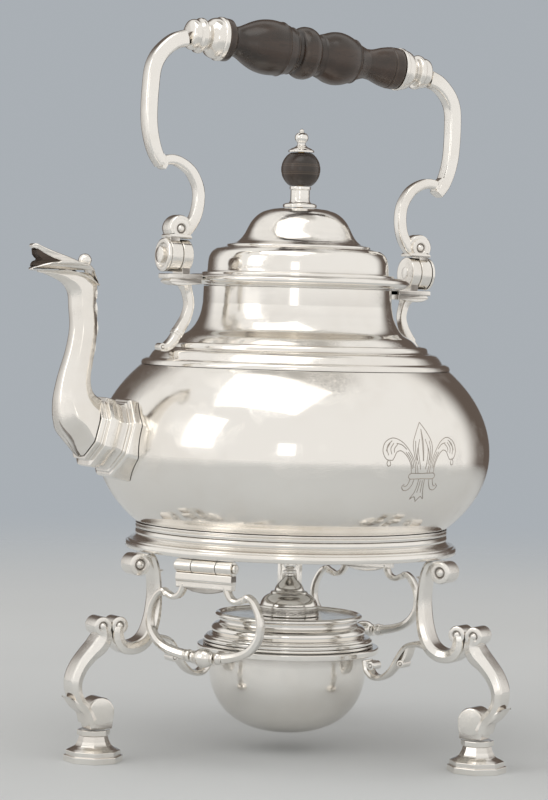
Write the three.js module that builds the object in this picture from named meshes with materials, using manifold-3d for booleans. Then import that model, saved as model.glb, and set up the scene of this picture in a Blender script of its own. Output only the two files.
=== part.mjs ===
import * as THREE from "three";
import { mergeVertices } from "three/addons/utils/BufferGeometryUtils.js";
import Module from "manifold-3d";

// A silver tea kettle with a swing handle, on a three-legged stand with a spirit lamp.
// Lengths are millimetres, +Z is up, the floor is z = 0 and the spout points along -X.
// A name that ends in share or shares holds fractions of the size that it follows.

// Fits, and the fineness of round shapes
const seatGap = 0.3; // between pieces that rest on, or are soldered to, each other
const pinPlay = 0.3; // radial play of a pin in its bore
const cutOverrun = 4; // how far a cutting shape runs past what it cuts
const largeSides = 24;
const middleSides = 16;
const smallSides = 12;
const octagonSides = 8;

// Stand: ring, legs and feet
const legHeight = 100.3; // floor to the underside of the ring
const legThickness = 11;
const legInset = 5.75; // the leg outline is drawn from this far inside the ring's edge
const ringWidth = 9.75; // bore to edge
const ringHeight = 9.5;
const footHeight = 15.3;
const footFlats = 26.6; // across the flats of the octagonal pad

// Lamp arms and cradle ring
const lampArmWidth = 8;
const lampArmThickness = 2.7;
const cradleWidth = 5.2;
const cradleHeight = 3;
const cradlePlay = 0.7; // radial room round the bowl

// Spirit lamp
const lampRoom = 33.4; // from the stand ring's bore in to the bowl
const bowlDepth = 36; // rounded part, below the straight wall
const bowlWallHeight = 8;
const bowlFullness = 2.4; // exponent of the bowl's outline, where 2 is an ellipse
const bowlWall = 1;
const rimOverhang = 3.2;
const rimHeight = 1.3;
const coverInset = 0.6; // the cover's edge lies this far inside the rim's
const coverHeight = 14.2;
const coverWall = 1.1;
const coverSpigotDepth = 4;
const wickTubeRadius = 5;
const wickTubeLength = 24;
const wickTubeWall = 1;
const wickTubeRise = 2.5; // over its flange
const wickFlangeRadius = 8;
const wickFlangeHeight = 0.8;
const wickLength = 50;
const wickTip = 2.6; // wick standing out of its tube
const capRadius = 15.1;
const capHeight = 19.4;
const capFinialHeight = 9.2;
const capFinialRadius = 3.2;
const capPegRadius = 1;
const capPegLength = 4;

// Drop handles under the ring
const dropInset = 2.75; // the hinge line lies this far inside the ring's edge
const knuckleRadius = 3.5;
const lugLength = 13.3;
const sideKnuckleLength = 8.6;
const dropPinRadius = 1.5;
const dropPinHeadRadius = 2.3;
const dropPinHeadLength = 1.2;
const dropHeight = 43.5; // hinge line to the middle of the loop's bottom bar
const dropDepth = 5;
const knopRadius = 4.5;
const knopLength = 12;
const dropAngles = { near: 210, far: 30 }; // degrees round from +X

// Kettle body
const bellyRadius = 98.2;
const bellyRise = 66.4; // belly line to the crown of the upper curve
const bellyFall = 60.5; // belly line to the bottom of the lower curve
const bodyWall = 1.2;
const baseRadius = 76.3;
const baseDome = 7.6; // how far the underside rises to its middle
const neckRadius = 47;
const neckHeight = 27.6; // foot of the flare to the top edge of the neck
const flareHeight = 18.4;
const creaseWidth = 15; // neck to the crease where the flare meets the belly
const creaseRise = 1.6; // crease to the top of the moulding round it
const mouldingWidth = 15.2;
const mouldingThickness = 2.4; // over the belly
const collarOverhang = 9;
const collarHeight = 5.5;
const collarRebate = 1.8;
const footRingHeight = 2;
const footRingLedge = 1.7; // the ring's edge stands this far outside the body's base
const spigotInset = 5.8; // the spigot stands this far inside the ring's edge
const spigotWall = 2.2;
const spigotDepth = 5.4;
const spigotPlay = 0.8; // radial room between the spigot and the stand's ring
const strainerHoleRadius = 1.5;
const strainerPitch = 5;
const outerHoles = 6;

// Lid and finial
const lidOverhang = 1; // the lid's edge stands this far outside the neck
const lidPlay = 0.6; // radial room of the lid in the collar's rebate
const lidHeight = 35.5;
const lidWall = 1.2;
const lidFlange = 1.6;
const bezelPlay = 1.4; // radial room of the bezel in the neck
const bezelWall = 1.2;
const bezelDepth = 12;
const finialRadius = 8.5;
const finialStemHeight = 10.6;
const finialBallRadius = 9.8;
const finialBallHeight = 16.3;
const finialCapRadius = 7;
const finialCapHeight = 11.9;
const rodRadius = 1.5;
const rodEngagement = 5; // length of the rod inside the cap
const nutRadius = 4;
const nutHeight = 3.5;
const nutSides = 6;

// Spout
const spoutInset = 8.2; // its root lies this far inside the belly
const spoutRise = 90.7; // end of the base to the tip of the beak
const spoutRootFlats = 27; // across the flats where the tube leaves its base
const spoutTilt = 14.6; // degrees that the base points upward
const spoutBaseLength = 23;
const spoutBaseFlats = 33;
const bore_share = 0.72; // width of the spout's bore as a share of its width outside
const headWidth = 14;
const crestRadius = 3;

// Swing handle: hinges, arms, ferrules and grip
const hingeHeight = 11.7; // middle of the hinge line over the neck's top edge
const hingeTilt = 2; // degrees by which the spout side stands higher
const hingeOverhang = 12.4; // edge of the collar to the joint of ear and knuckle
const hingeRadius = 8;
const earThickness = 5.3;
const bailKnuckleThickness = 6;
const washerThickness = 1.2;
const washerOverlap = 0.2; // the washer stands this far past the knuckle
const hingePinRadius = 3;
const hingeHeadRadius = 3.9;
const hingeHeadHeight = 2.5;
const bracketWidth = 5;
const bracketStandoff = 2.8; // crease to the line that the bracket's strap is drawn from
const knuckleRoom = 0.8; // knuckle to the top of the shelf
const webInset = 0.8; // the web under the ear is thinner than the ear by this on each side
const shelfThickness = 5.9;
const shelfWidth = 11;
const bailRise = 105; // hinge line to the grip's axis
const gripTilt = 2.5; // degrees by which the grip leans from the hinge line
const upperScrollWidth = 7;
const upperScrollThickness = 7.5;
const lowerScrollWidth = 5;
const lowerScrollThickness = 5.5;
const armCollarWidth = 10;
const ferruleLength = 18.4;
const ferruleRadius = 10.8;
const armOverhang = 1; // how far the ferrules reach past the hinge joint
const gripRadius = 13.7;
const gripRodRadius = 2.5;
const gripRodEngagement = 14; // length of the rod inside each ferrule

// Heights and places that follow from the sizes
const ringBase = legHeight + seatGap;
const standTop = ringBase + ringHeight;
const kettleSeat = standTop + seatGap;
const baseLine = kettleSeat + footRingHeight;
const bellyLine = baseLine + bellyFall * Math.sqrt(1 - (baseRadius / bellyRadius) ** 2);
const creaseRadius = neckRadius + creaseWidth;
const creaseLine = bellyLine + bellyRise * Math.sqrt(1 - (creaseRadius / bellyRadius) ** 2);
const shoulderTop = creaseLine + creaseRise;
const mouldingRadius = creaseRadius + mouldingWidth;
const neckTop = shoulderTop + neckHeight;
const neckBore = neckRadius - bodyWall;
const collarRadius = neckRadius + collarOverhang;
const collarBase = neckTop + seatGap;
const collarTop = collarBase + collarHeight;
const lidRadius = neckRadius + lidOverhang;
const lidBase = collarTop - collarRebate + seatGap;
const lidTop = lidBase + lidHeight;
const bezelRadius = neckBore - bezelPlay;
const footRingRadius = baseRadius + footRingLedge;
const spigotRadius = footRingRadius - spigotInset;
const ringBore = spigotRadius + spigotPlay;
const ringRadius = ringBore + ringWidth;
const legRoot = ringRadius - legInset;
const dropHingeRadius = ringRadius - dropInset;
const bowlRadius = ringBore - lampRoom;
const rimRadius = bowlRadius + rimOverhang;
const coverRadius = rimRadius - coverInset;
const cradleBore = bowlRadius + cradlePlay;
const cradleRadius = cradleBore + cradleWidth;
const hingeLine = neckTop + hingeHeight;
const hingeReach = collarRadius + hingeOverhang;
const washerRadius = hingeRadius + washerOverlap;
const shelfDrop = hingeRadius + knuckleRoom;
const ferruleEnd = hingeReach + armOverhang;
const gripLength = 2 * (ferruleEnd - ferruleLength - seatGap);

const wasm = await Module();
wasm.setup();

// Finishes, as the pieces look in soft light
const silver = new THREE.MeshStandardMaterial({ color: 0xe6e1d6, roughness: 0.18, metalness: 1 });
const castSilver = new THREE.MeshStandardMaterial({ color: 0xded8cb, roughness: 0.26, metalness: 1 });
const innerSilver = new THREE.MeshStandardMaterial({ color: 0xcfc4a8, roughness: 0.35, metalness: 1 });
const darkWood = new THREE.MeshStandardMaterial({ color: 0x3a2018, roughness: 0.4, metalness: 0 });
const brass = new THREE.MeshStandardMaterial({ color: 0xb08d4e, roughness: 0.4, metalness: 1 });
const cotton = new THREE.MeshStandardMaterial({ color: 0xe4dcc8, roughness: 0.95, metalness: 0 });

// A closed geometry as a solid that can be joined and cut.
function solid(geometry) {
  const bare = new THREE.BufferGeometry();
  bare.setAttribute("position", geometry.getAttribute("position"));
  bare.setIndex(geometry.index);
  const welded = mergeVertices(bare);
  const mesh = new wasm.Mesh({
    numProp: 3,
    vertProperties: welded.getAttribute("position").array,
    triVerts: new Uint32Array(welded.index.array),
  });
  return new wasm.Manifold(mesh);
}

// A named mesh from a solid.
function piece(name, shape, finish) {
  const { vertProperties, triVerts } = shape.getMesh();
  const geometry = new THREE.BufferGeometry();
  geometry.setAttribute("position", new THREE.BufferAttribute(vertProperties, 3));
  geometry.setIndex(new THREE.BufferAttribute(triVerts, 1));
  geometry.computeVertexNormals();
  const mesh = new THREE.Mesh(geometry, finish);
  mesh.name = name;
  return mesh;
}

function joined(shapes) {
  return shapes.reduce((whole, shape) => whole.add(shape));
}

// Points of an outline: shares of a width and a height, drawn from a corner.
function outline(shares, width, height, left = 0, bottom = 0) {
  return shares.map(([across, up]) => new THREE.Vector2(left + across * width, bottom + up * height));
}

const square_shares = [[0, 0], [1, 0], [1, 1], [0, 1]];

// A round solid about Z. The outline starts and ends on the axis, or is a closed loop beside it.
function turnedGeometry(profile, sides) {
  const onAxis = profile[0].x === 0;
  const ordered = THREE.ShapeUtils.isClockWise(profile) ? profile.toReversed() : profile;
  const line = onAxis ? ordered : [...ordered, ordered[0].clone()];
  return new THREE.LatheGeometry(line, sides).rotateX(Math.PI / 2);
}

function turned(profile, sides = largeSides) {
  return solid(turnedGeometry(profile, sides));
}

// An eight-sided solid about Z with flats to its front and sides.
function octagonal(profile) {
  return turnedGeometry(profile, octagonSides).rotateZ(Math.PI / octagonSides);
}

// Radius to the corners of an octagon from its width across flats.
function cornerOf(flats) {
  return flats / 2 / Math.cos(Math.PI / octagonSides);
}

// A plain disc or rod about Z, from one height to another.
function rod(radius, bottom, top, sides = smallSides) {
  const profile = [[0, bottom], [radius, bottom], [radius, top], [0, top]];
  return turned(profile.map(([r, z]) => new THREE.Vector2(r, z)), sides);
}

// A flat piece in the XZ plane, as thick as given along Y.
function plate(points, thickness) {
  const geometry = new THREE.ExtrudeGeometry(new THREE.Shape(points), {
    depth: thickness,
    bevelEnabled: false,
    steps: 1,
  });
  return solid(geometry.translate(0, 0, -thickness / 2).rotateX(Math.PI / 2));
}

// A cylinder along Y, centred at x, z.
function roll(x, z, radius, length, sides = smallSides) {
  return solid(new THREE.CylinderGeometry(radius, radius, length, sides).translate(x, 0, z));
}

// A block between two corners.
function block(low, high) {
  const size = new THREE.Vector3().subVectors(high, low);
  const middle = new THREE.Vector3().addVectors(low, high).multiplyScalar(0.5);
  const geometry = new THREE.BoxGeometry(size.x, size.y, size.z);
  return solid(geometry.translate(middle.x, middle.y, middle.z));
}

// Outline of a strip that follows points, each with its own width.
function strip(points, widths, stepsPerSpan = 2) {
  const curve = new THREE.SplineCurve(points);
  const steps = (points.length - 1) * stepsPerSpan;
  const left = [];
  const right = [];
  for (let step = 0; step <= steps; step += 1) {
    const along = step / steps;
    const span = Math.min(Math.floor(along * (points.length - 1)), points.length - 2);
    const within = along * (points.length - 1) - span;
    const half = THREE.MathUtils.lerp(widths[span], widths[span + 1], within) / 2;
    const middle = curve.getPoint(along);
    const heading = curve.getTangent(along);
    const side = new THREE.Vector2(-heading.y, heading.x).multiplyScalar(half);
    left.push(middle.clone().add(side));
    right.unshift(middle.clone().sub(side));
  }
  return [...left, ...right];
}

// A solid through equal rings of points, closed by a fan at each end.
function loft(rings) {
  const count = rings[0].length;
  const ends = [rings[0], rings[rings.length - 1]].map((ring) => {
    const sum = ring.reduce((total, point) => total.add(point), new THREE.Vector3());
    return sum.divideScalar(count);
  });
  const points = [...rings.flat(), ...ends];
  const faces = [];
  rings.slice(1).forEach((_, index) => {
    for (let corner = 0; corner < count; corner += 1) {
      const next = (corner + 1) % count;
      const below = index * count;
      const above = below + count;
      faces.push(below + corner, below + next, above + next);
      faces.push(below + corner, above + next, above + corner);
    }
  });
  const last = (rings.length - 1) * count;
  for (let corner = 0; corner < count; corner += 1) {
    const next = (corner + 1) % count;
    faces.push(points.length - 2, next, corner);
    faces.push(points.length - 1, last + corner, last + next);
  }
  const geometry = new THREE.BufferGeometry().setFromPoints(points);
  geometry.setIndex(faces);
  return solid(geometry);
}

function radians(degrees) {
  return THREE.MathUtils.degToRad(degrees);
}

// Stand

// Share of the ring's width, from bore to edge, and of its height.
const ringOutline_shares = [
  [0, 0], [1, 0], [1, 0.36], [0.82, 0.38], [0.62, 0.44], [0.47, 0.55], [0.43, 0.67], [0.41, 1], [0, 1],
];

function standRing() {
  const profile = outline(ringOutline_shares, ringRadius - ringBore, ringHeight, ringBore, ringBase);
  return turned(profile);
}

// Leg outlines: distance from the leg's root and height over the floor, as shares of legHeight.
const upperScroll_shares = [
  [0.05, 0.982], [0.016, 0.955], [0, 0.91], [-0.007, 0.84], [-0.008, 0.76], [0.003, 0.675],
  [0.024, 0.613], [0.05, 0.574], [0.095, 0.548], [0.155, 0.546], [0.2, 0.585], [0.198, 0.64],
];
const upperScrollWidth_shares = [
  0.032, 0.034, 0.03, 0.03, 0.04, 0.05, 0.052, 0.056, 0.06, 0.056, 0.055, 0.05,
];
const lowerLeg_shares = [
  [0.278, 0.64], [0.274, 0.58], [0.338, 0.519], [0.386, 0.463], [0.414, 0.399], [0.413, 0.344],
  [0.392, 0.298], [0.36, 0.263],
];
const lowerLegWidth_shares = [0.07, 0.1, 0.064, 0.061, 0.059, 0.05, 0.044, 0.044];
const heel_shares = [
  [0.26, 0.09], [0.342, 0.09], [0.376, 0.226], [0.41, 0.27], [0.452, 0.321], [0.368, 0.264], [0.29, 0.26],
];
const topRoll_shares = [0.097, 0.949, 0.054];
const middleRolls_shares = [[0.196, 0.654, 0.046], [0.284, 0.654, 0.046]];
const footRoll_shares = [0.29, 0.245, 0.07];
const footOffset_share = 0.3;
const footCentre = legRoot + footOffset_share * legHeight;

function legPoints(shares) {
  return outline(shares, legHeight, legHeight, legRoot);
}

function legStrip(shares, widthShares) {
  return plate(strip(legPoints(shares), widthShares.map((share) => share * legHeight)), legThickness);
}

function legRoll([across, up, radius]) {
  return roll(legRoot + across * legHeight, up * legHeight, radius * legHeight, legThickness);
}

// One leg, in the XZ plane, trimmed to stand on its foot and under the ring.
function leg() {
  const whole = joined([
    legStrip(upperScroll_shares, upperScrollWidth_shares),
    legStrip(lowerLeg_shares, lowerLegWidth_shares),
    plate(legPoints(heel_shares), legThickness),
    legRoll(topRoll_shares),
    legRoll(footRoll_shares),
    ...middleRolls_shares.map(legRoll),
  ]);
  const floorTrim = block(
    new THREE.Vector3(0, -legThickness, 0),
    new THREE.Vector3(legRoot + legHeight, legThickness, footHeight + seatGap),
  );
  const ringTrim = block(
    new THREE.Vector3(0, -legThickness, legHeight),
    new THREE.Vector3(legRoot + legHeight, legThickness, standTop),
  );
  return whole.subtract(floorTrim).subtract(ringTrim);
}

// Share of the pad's half width across flats, and of the foot's height.
const footOutline_shares = [
  [0, 0], [1, 0], [1, 0.196], [0.92, 0.2], [0.92, 0.36], [0.68, 0.46], [0.54, 0.62], [0.48, 0.82],
  [0.555, 0.84], [0.555, 1], [0, 1],
];

function foot() {
  const profile = outline(footOutline_shares, cornerOf(footFlats), footHeight);
  return solid(octagonal(profile).translate(footCentre, 0, 0));
}

// Lamp arm. It starts at a place inside the leg's upper scroll, in shares of legHeight from the
// leg's root. Its points are shares of the room to the cradle ring, from its start and its end.
const armStart_shares = [-0.0063, 0.5833];
const lampArm_shares = [
  [0, 0.295], [-0.112, 0.305], [-0.276, 0.254], [-0.398, 0.091], [-0.531, -0.132], [-0.694, -0.274],
  [-0.857, -0.274], [-0.969, -0.163], [-1, -0.01],
];
const armRolls_shares = [[-0.347, -0.03, 0.0745], [-0.883, -0.086, 0.0806]];
const armStart = legRoot + armStart_shares[0] * legHeight;
const armRoom = armStart - cradleRadius;
const armEnd = armStart_shares[1] * legHeight - lampArm_shares[0][1] * armRoom;
const cradleBase = armEnd + seatGap;
const bowlRimBase = cradleBase + cradleHeight + seatGap;
const coverBase = bowlRimBase + rimHeight + seatGap;

function lampArm() {
  const points = outline(lampArm_shares, armRoom, armRoom, armStart, armEnd);
  const strap = plate(strip(points, points.map(() => lampArmThickness)), lampArmWidth);
  const rolls = armRolls_shares.map(([across, up, radius]) =>
    roll(armStart + across * armRoom, armEnd + up * armRoom, radius * armRoom, lampArmWidth),
  );
  const trim = block(
    new THREE.Vector3(0, -lampArmWidth, armEnd),
    new THREE.Vector3(cradleRadius + lampArmThickness, lampArmWidth, bowlRimBase),
  );
  return joined([strap, ...rolls]).subtract(trim);
}

function cradleRing() {
  const profile = outline(square_shares, cradleRadius - cradleBore, cradleHeight, cradleBore, cradleBase);
  return turned(profile, middleSides);
}

// Drop handles. Each is drawn with its hinge line along Y, and hangs below it.
const dropHingeHeight = legHeight - knuckleRadius;
const dropPinHalf = lugLength / 2 + seatGap + sideKnuckleLength + seatGap;

// Half of the loop: distance from the middle and depth below the hinge, as shares of dropHeight.
const loopTop_shares = [[0.3, 0.2], [0.35, 0.31], [0.42, 0.355], [0.5, 0.31], [0.54, 0.285]];
const loopSide_shares = [
  [0.54, 0.285], [0.62, 0.36], [0.69, 0.49], [0.71, 0.64], [0.65, 0.8], [0.5, 0.92], [0.34, 0.975], [0.13, 1],
];
const loopTopWidth_share = 0.06;
const loopSideWidth_shares = [0.06, 0.06, 0.06, 0.065, 0.075, 0.09, 0.11, 0.12];
const handlePlate_shares = [0.36, 0.05, 0.23];

// A cylinder along Y between two places on the hinge line.
function barrel(radius, from, to, sides = smallSides) {
  const geometry = new THREE.CylinderGeometry(radius, radius, to - from, sides);
  return solid(geometry.translate(dropHingeRadius, (from + to) / 2, dropHingeHeight));
}

function handleLug() {
  return barrel(knuckleRadius, -lugLength / 2, lugLength / 2).subtract(
    barrel(dropPinRadius + pinPlay, -lugLength, lugLength),
  );
}

function handlePin() {
  return joined([
    barrel(dropPinRadius, -dropPinHalf - dropPinHeadLength / 2, dropPinHalf + dropPinHeadLength / 2),
    barrel(dropPinHeadRadius, dropPinHalf, dropPinHalf + dropPinHeadLength),
    barrel(dropPinHeadRadius, -dropPinHalf - dropPinHeadLength, -dropPinHalf),
  ]);
}

// A strip drawn across the handle, as deep as the handle from front to back.
function handleStrip(points, widths) {
  const shape = new THREE.Shape(strip(points, widths));
  const geometry = new THREE.ExtrudeGeometry(shape, { depth: dropDepth, bevelEnabled: false, steps: 1 });
  geometry.rotateX(Math.PI / 2).rotateZ(Math.PI / 2);
  return solid(geometry.translate(dropHingeRadius - dropDepth / 2, 0, 0));
}

function handleHalf(side) {
  const place = ([across, down]) =>
    new THREE.Vector2(side * across * dropHeight, dropHingeHeight - down * dropHeight);
  const sideWidths = loopSideWidth_shares.map((share) => share * dropHeight);
  const topWidths = loopTop_shares.map(() => loopTopWidth_share * dropHeight);
  const inner = lugLength / 2 + seatGap;
  const outer = inner + sideKnuckleLength;
  return joined([
    handleStrip(loopTop_shares.map(place), topWidths),
    handleStrip(loopSide_shares.map(place), sideWidths),
    side > 0 ? barrel(knuckleRadius, inner, outer) : barrel(knuckleRadius, -outer, -inner),
  ]);
}

function dropHandle() {
  const [halfWidth, plateTop, plateBottom] = handlePlate_shares.map((share) => share * dropHeight);
  const bridge = block(
    new THREE.Vector3(dropHingeRadius - dropDepth / 2, -halfWidth, dropHingeHeight - plateBottom),
    new THREE.Vector3(dropHingeRadius + dropDepth / 2, halfWidth, dropHingeHeight - plateTop),
  );
  const lugRoom = barrel(knuckleRadius + seatGap, -lugLength / 2 - seatGap, lugLength / 2 + seatGap);
  const bore = barrel(dropPinRadius + pinPlay, -dropPinHalf - cutOverrun, dropPinHalf + cutOverrun);
  const knopRoom = block(
    new THREE.Vector3(0, -knopLength / 2 - seatGap, 0),
    new THREE.Vector3(ringRadius + knopRadius, knopLength / 2 + seatGap, dropHingeHeight - dropHeight / 2),
  );
  return joined([handleHalf(1), handleHalf(-1), bridge]).subtract(lugRoom).subtract(bore).subtract(knopRoom);
}

// Share of the knop's radius, and of its length from one end.
const knop_shares = [
  [0, 0], [0.72, 0], [0.72, 0.14], [0.5, 0.17], [0.8, 0.25], [1, 0.5], [0.8, 0.75], [0.5, 0.83],
  [0.72, 0.86], [0.72, 1], [0, 1],
];

function handleKnop() {
  const profile = outline(knop_shares, knopRadius, knopLength, 0, -knopLength / 2);
  const geometry = turnedGeometry(profile, smallSides);
  return solid(geometry.rotateX(Math.PI / 2).translate(dropHingeRadius, 0, dropHingeHeight - dropHeight));
}

function turnedGroup(degrees, meshes) {
  const group = new THREE.Group();
  group.rotation.z = radians(degrees);
  group.add(...meshes);
  return group;
}

function stand() {
  const group = new THREE.Group();
  group.add(piece("stand_ring", standRing(), silver));
  group.add(piece("lamp_cradle_ring", cradleRing(), silver));
  Object.entries({ spout_side: 180, near_side: 300, far_side: 60 }).forEach(([side, degrees]) => {
    const meshes = [
      piece(`leg_${side}`, leg(), castSilver),
      piece(`foot_${side}`, foot(), castSilver),
      piece(`lamp_arm_${side}`, lampArm(), castSilver),
    ];
    group.add(turnedGroup(degrees, meshes));
  });
  Object.entries(dropAngles).forEach(([side, degrees]) => {
    const meshes = [
      piece(`handle_lug_${side}`, handleLug(), castSilver),
      piece(`handle_pin_${side}`, handlePin(), silver),
      piece(`drop_handle_${side}`, dropHandle(), castSilver),
      piece(`handle_knop_${side}`, handleKnop(), castSilver),
    ];
    group.add(turnedGroup(degrees, meshes));
  });
  return group;
}

// Spirit lamp

// The rounded part of the bowl from its bottom up, as a full oval of a radius and a depth.
function bowlOutline(radius, depth, bottom, steps) {
  const power = 2 / bowlFullness;
  const profile = [];
  for (let step = 0; step <= steps; step += 1) {
    const angle = (step / steps) * (Math.PI / 2);
    const height = bottom + depth * (1 - Math.cos(angle) ** power);
    profile.push(new THREE.Vector2(radius * Math.sin(angle) ** power, height));
  }
  return profile;
}

function lampBowl() {
  const bottom = bowlRimBase - bowlWallHeight - bowlDepth;
  const rimTop = bowlRimBase + rimHeight;
  const outside = bowlOutline(bowlRadius, bowlDepth, bottom, 8);
  const inside = bowlOutline(bowlRadius - bowlWall, bowlDepth - bowlWall, bottom + bowlWall, 6);
  const rim = [
    [bowlRadius, bowlRimBase], [rimRadius, bowlRimBase], [rimRadius, rimTop], [bowlRadius - bowlWall, rimTop],
  ].map(([r, z]) => new THREE.Vector2(r, z));
  return turned([...outside, ...rim, ...inside.toReversed()], middleSides);
}

// Share of the cover's radius and of its height, up the outside and over to the wick hole.
const coverOutline_shares = [
  [1, 0], [1, 0.13], [0.975, 0.18], [0.87, 0.22], [0.9, 0.3], [0.905, 0.41], [0.89, 0.54], [0.845, 0.61],
  [0.818, 0.63], [0.818, 0.83], [0.87, 0.88], [0.87, 0.97], [0.84, 1], [0.81, 0.92],
];
const coverInside_shares = [[0.79, 0.58], [0.855, 0.5], [0.87, 0.41], [0.865, 0.32], [0.83, 0.24]];
const coverThroat_share = 0.818; // radius of the wall under the lip
const coverPlate_share = 0.9; // height of the plate inside the lip

const coverTop = coverBase + coverPlate_share * coverHeight;
const wickHoleRadius = wickTubeRadius + pinPlay;

function lampCover() {
  const spigotOutside = bowlRadius - bowlWall - pinPlay;
  const spigotInside = spigotOutside - coverWall;
  const innerWall = coverThroat_share * coverRadius - coverWall;
  const plateUnderside = coverTop - coverWall;
  const loop = [
    ...outline(coverOutline_shares, coverRadius, coverHeight, 0, coverBase),
    new THREE.Vector2(wickHoleRadius, coverTop),
    new THREE.Vector2(wickHoleRadius, plateUnderside),
    new THREE.Vector2(innerWall, plateUnderside),
    ...outline(coverInside_shares, coverRadius, coverHeight, 0, coverBase),
    new THREE.Vector2(spigotInside, coverBase),
    new THREE.Vector2(spigotInside, coverBase - coverSpigotDepth),
    new THREE.Vector2(spigotOutside, coverBase - coverSpigotDepth),
    new THREE.Vector2(spigotOutside, coverBase),
  ];
  return turned(loop, middleSides);
}

const flangeBase = coverTop + seatGap;
const wickTubeTop = flangeBase + wickFlangeHeight + wickTubeRise;

function wickTube() {
  return rod(wickTubeRadius, wickTubeTop - wickTubeLength, wickTubeTop)
    .add(rod(wickFlangeRadius, flangeBase, flangeBase + wickFlangeHeight))
    .subtract(rod(wickTubeRadius - wickTubeWall, 0, wickTubeTop + cutOverrun));
}

function wick() {
  const top = wickTubeTop + wickTip;
  return rod(wickTubeRadius - wickTubeWall - seatGap, top - wickLength, top);
}

// Snuffer cap: share of its radius and of its height.
const capOutline_shares = [
  [1, 0], [1, 0.237], [0.95, 0.25], [0.9, 0.36], [0.79, 0.475], [0.615, 0.55], [0.6, 0.61], [0.48, 0.62],
  [0.465, 0.72], [0.37, 0.815], [0.24, 0.93], [0.145, 1], [0, 1],
];
const capInside_shares = [[0, 0.5], [0.4, 0.49], [0.68, 0.42], [0.83, 0.33], [0.92, 0.2], [0.92, 0]];

function snufferCap() {
  const base = coverTop + seatGap;
  const outside = outline(capOutline_shares, capRadius, capHeight, 0, base);
  const inside = outline(capInside_shares, capRadius, capHeight, 0, base);
  const holeBottom = base + capHeight - capPegLength - seatGap;
  const pegHole = rod(capPegRadius + pinPlay, holeBottom, base + capHeight + cutOverrun);
  return turned([...inside, ...outside], middleSides).subtract(pegHole);
}

const capFinial_shares = [
  [0, 0], [0.66, 0], [0.62, 0.13], [1, 0.15], [1, 0.28], [0.5, 0.32], [0.8, 0.42], [0.97, 0.6], [0.8, 0.82],
  [0.4, 0.97], [0, 1],
];

function snufferFinial() {
  const base = coverTop + seatGap + capHeight + seatGap;
  const knob = turned(outline(capFinial_shares, capFinialRadius, capFinialHeight, 0, base), smallSides);
  return knob.add(rod(capPegRadius, base - capPegLength, base + capFinialHeight / 2));
}

function lamp() {
  const group = new THREE.Group();
  group.add(piece("lamp_bowl", lampBowl(), silver));
  group.add(piece("lamp_cover", lampCover(), silver));
  group.add(piece("wick_tube", wickTube(), brass));
  group.add(piece("wick", wick(), cotton));
  group.add(piece("snuffer_cap", snufferCap(), silver));
  group.add(piece("snuffer_finial", snufferFinial(), silver));
  return group;
}

// Kettle body

// A point of the belly's oval section at an angle over the belly line.
function bellyPoint(angle, inset = 0) {
  const height = (angle > 0 ? bellyRise : bellyFall) - inset;
  return new THREE.Vector2((bellyRadius - inset) * Math.cos(angle), bellyLine + height * Math.sin(angle));
}

// Points of the belly's section from one radius below its widest line to one above it.
function bellyCurve(lowRadius, highRadius, inset = 0, pointsEach = 6) {
  const low = -Math.acos(lowRadius / (bellyRadius - inset));
  const high = Math.acos(highRadius / (bellyRadius - inset));
  const points = [];
  for (let index = 0; index < pointsEach; index += 1) {
    points.push(bellyPoint(low * (1 - index / pointsEach), inset));
  }
  for (let index = 0; index <= pointsEach; index += 1) {
    points.push(bellyPoint((high * index) / pointsEach, inset));
  }
  return points;
}

// Share of baseRadius and of baseDome, from the middle of the underside out to its rim.
const base_shares = [[0, 1], [0.5, 0.66], [0.79, 0.14], [0.94, -0.08]];
// Share of the crease's width outside the neck, and of the flare's height.
const flare_shares = [[0.902, 0.076], [0.534, 0.27], [0.297, 0.48], [0.131, 0.73], [0.02, 1]];

function kettleShell() {
  const outside = [
    ...outline(base_shares, baseRadius, baseDome, 0, baseLine),
    ...bellyCurve(baseRadius, creaseRadius),
    ...outline(flare_shares, creaseWidth, flareHeight, neckRadius, shoulderTop),
    new THREE.Vector2(neckRadius, neckTop),
  ];
  const inside = [
    ...outline(base_shares, baseRadius, baseDome, 0, baseLine + bodyWall),
    ...bellyCurve(baseRadius - bodyWall, creaseRadius - bodyWall, bodyWall, 4),
    ...outline(flare_shares, creaseWidth, flareHeight, neckRadius - bodyWall, shoulderTop - bodyWall),
    new THREE.Vector2(neckBore, neckTop),
  ];
  return turned([...outside, ...inside.toReversed()]).subtract(strainerHoles());
}

// Holes through the wall behind the spout: one, and a ring of them round it.
function strainerHoles() {
  const places = [new THREE.Vector2(0, 0)];
  for (let index = 0; index < outerHoles; index += 1) {
    const angle = (index / outerHoles) * 2 * Math.PI;
    places.push(new THREE.Vector2(Math.cos(angle), Math.sin(angle)).multiplyScalar(strainerPitch));
  }
  const length = bellyRadius - creaseRadius;
  const holes = places.map(({ x, y }) => {
    const geometry = new THREE.CylinderGeometry(strainerHoleRadius, strainerHoleRadius, length, octagonSides);
    return solid(geometry.rotateZ(Math.PI / 2).translate(-bellyRadius, x, bellyLine + y));
  });
  return joined(holes);
}

// Share of the moulding's width outside the crease, and of its thickness over the belly.
const moulding_shares = [
  [1, 0], [1, 0.85], [0.88, 0.62], [0.78, 0.1], [0.68, 0.5], [0.6, 0.75], [0.52, 0.75], [0.41, 0.62],
  [0.25, 0.33], [0.235, 0.9], [0.17, 1], [0.03, 0.65],
];

// Height of the belly's upper half at a radius, plus the seat gap.
function bellySeat(radius) {
  return bellyPoint(Math.acos(radius / bellyRadius)).y + seatGap;
}

// The moulding's outside, moved out and up by a clearance.
function mouldingOutside(clearance = 0) {
  return moulding_shares.map(([across, over]) => {
    const radius = creaseRadius + across * mouldingWidth;
    return new THREE.Vector2(radius + clearance, bellySeat(radius) + over * mouldingThickness + clearance);
  });
}

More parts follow.
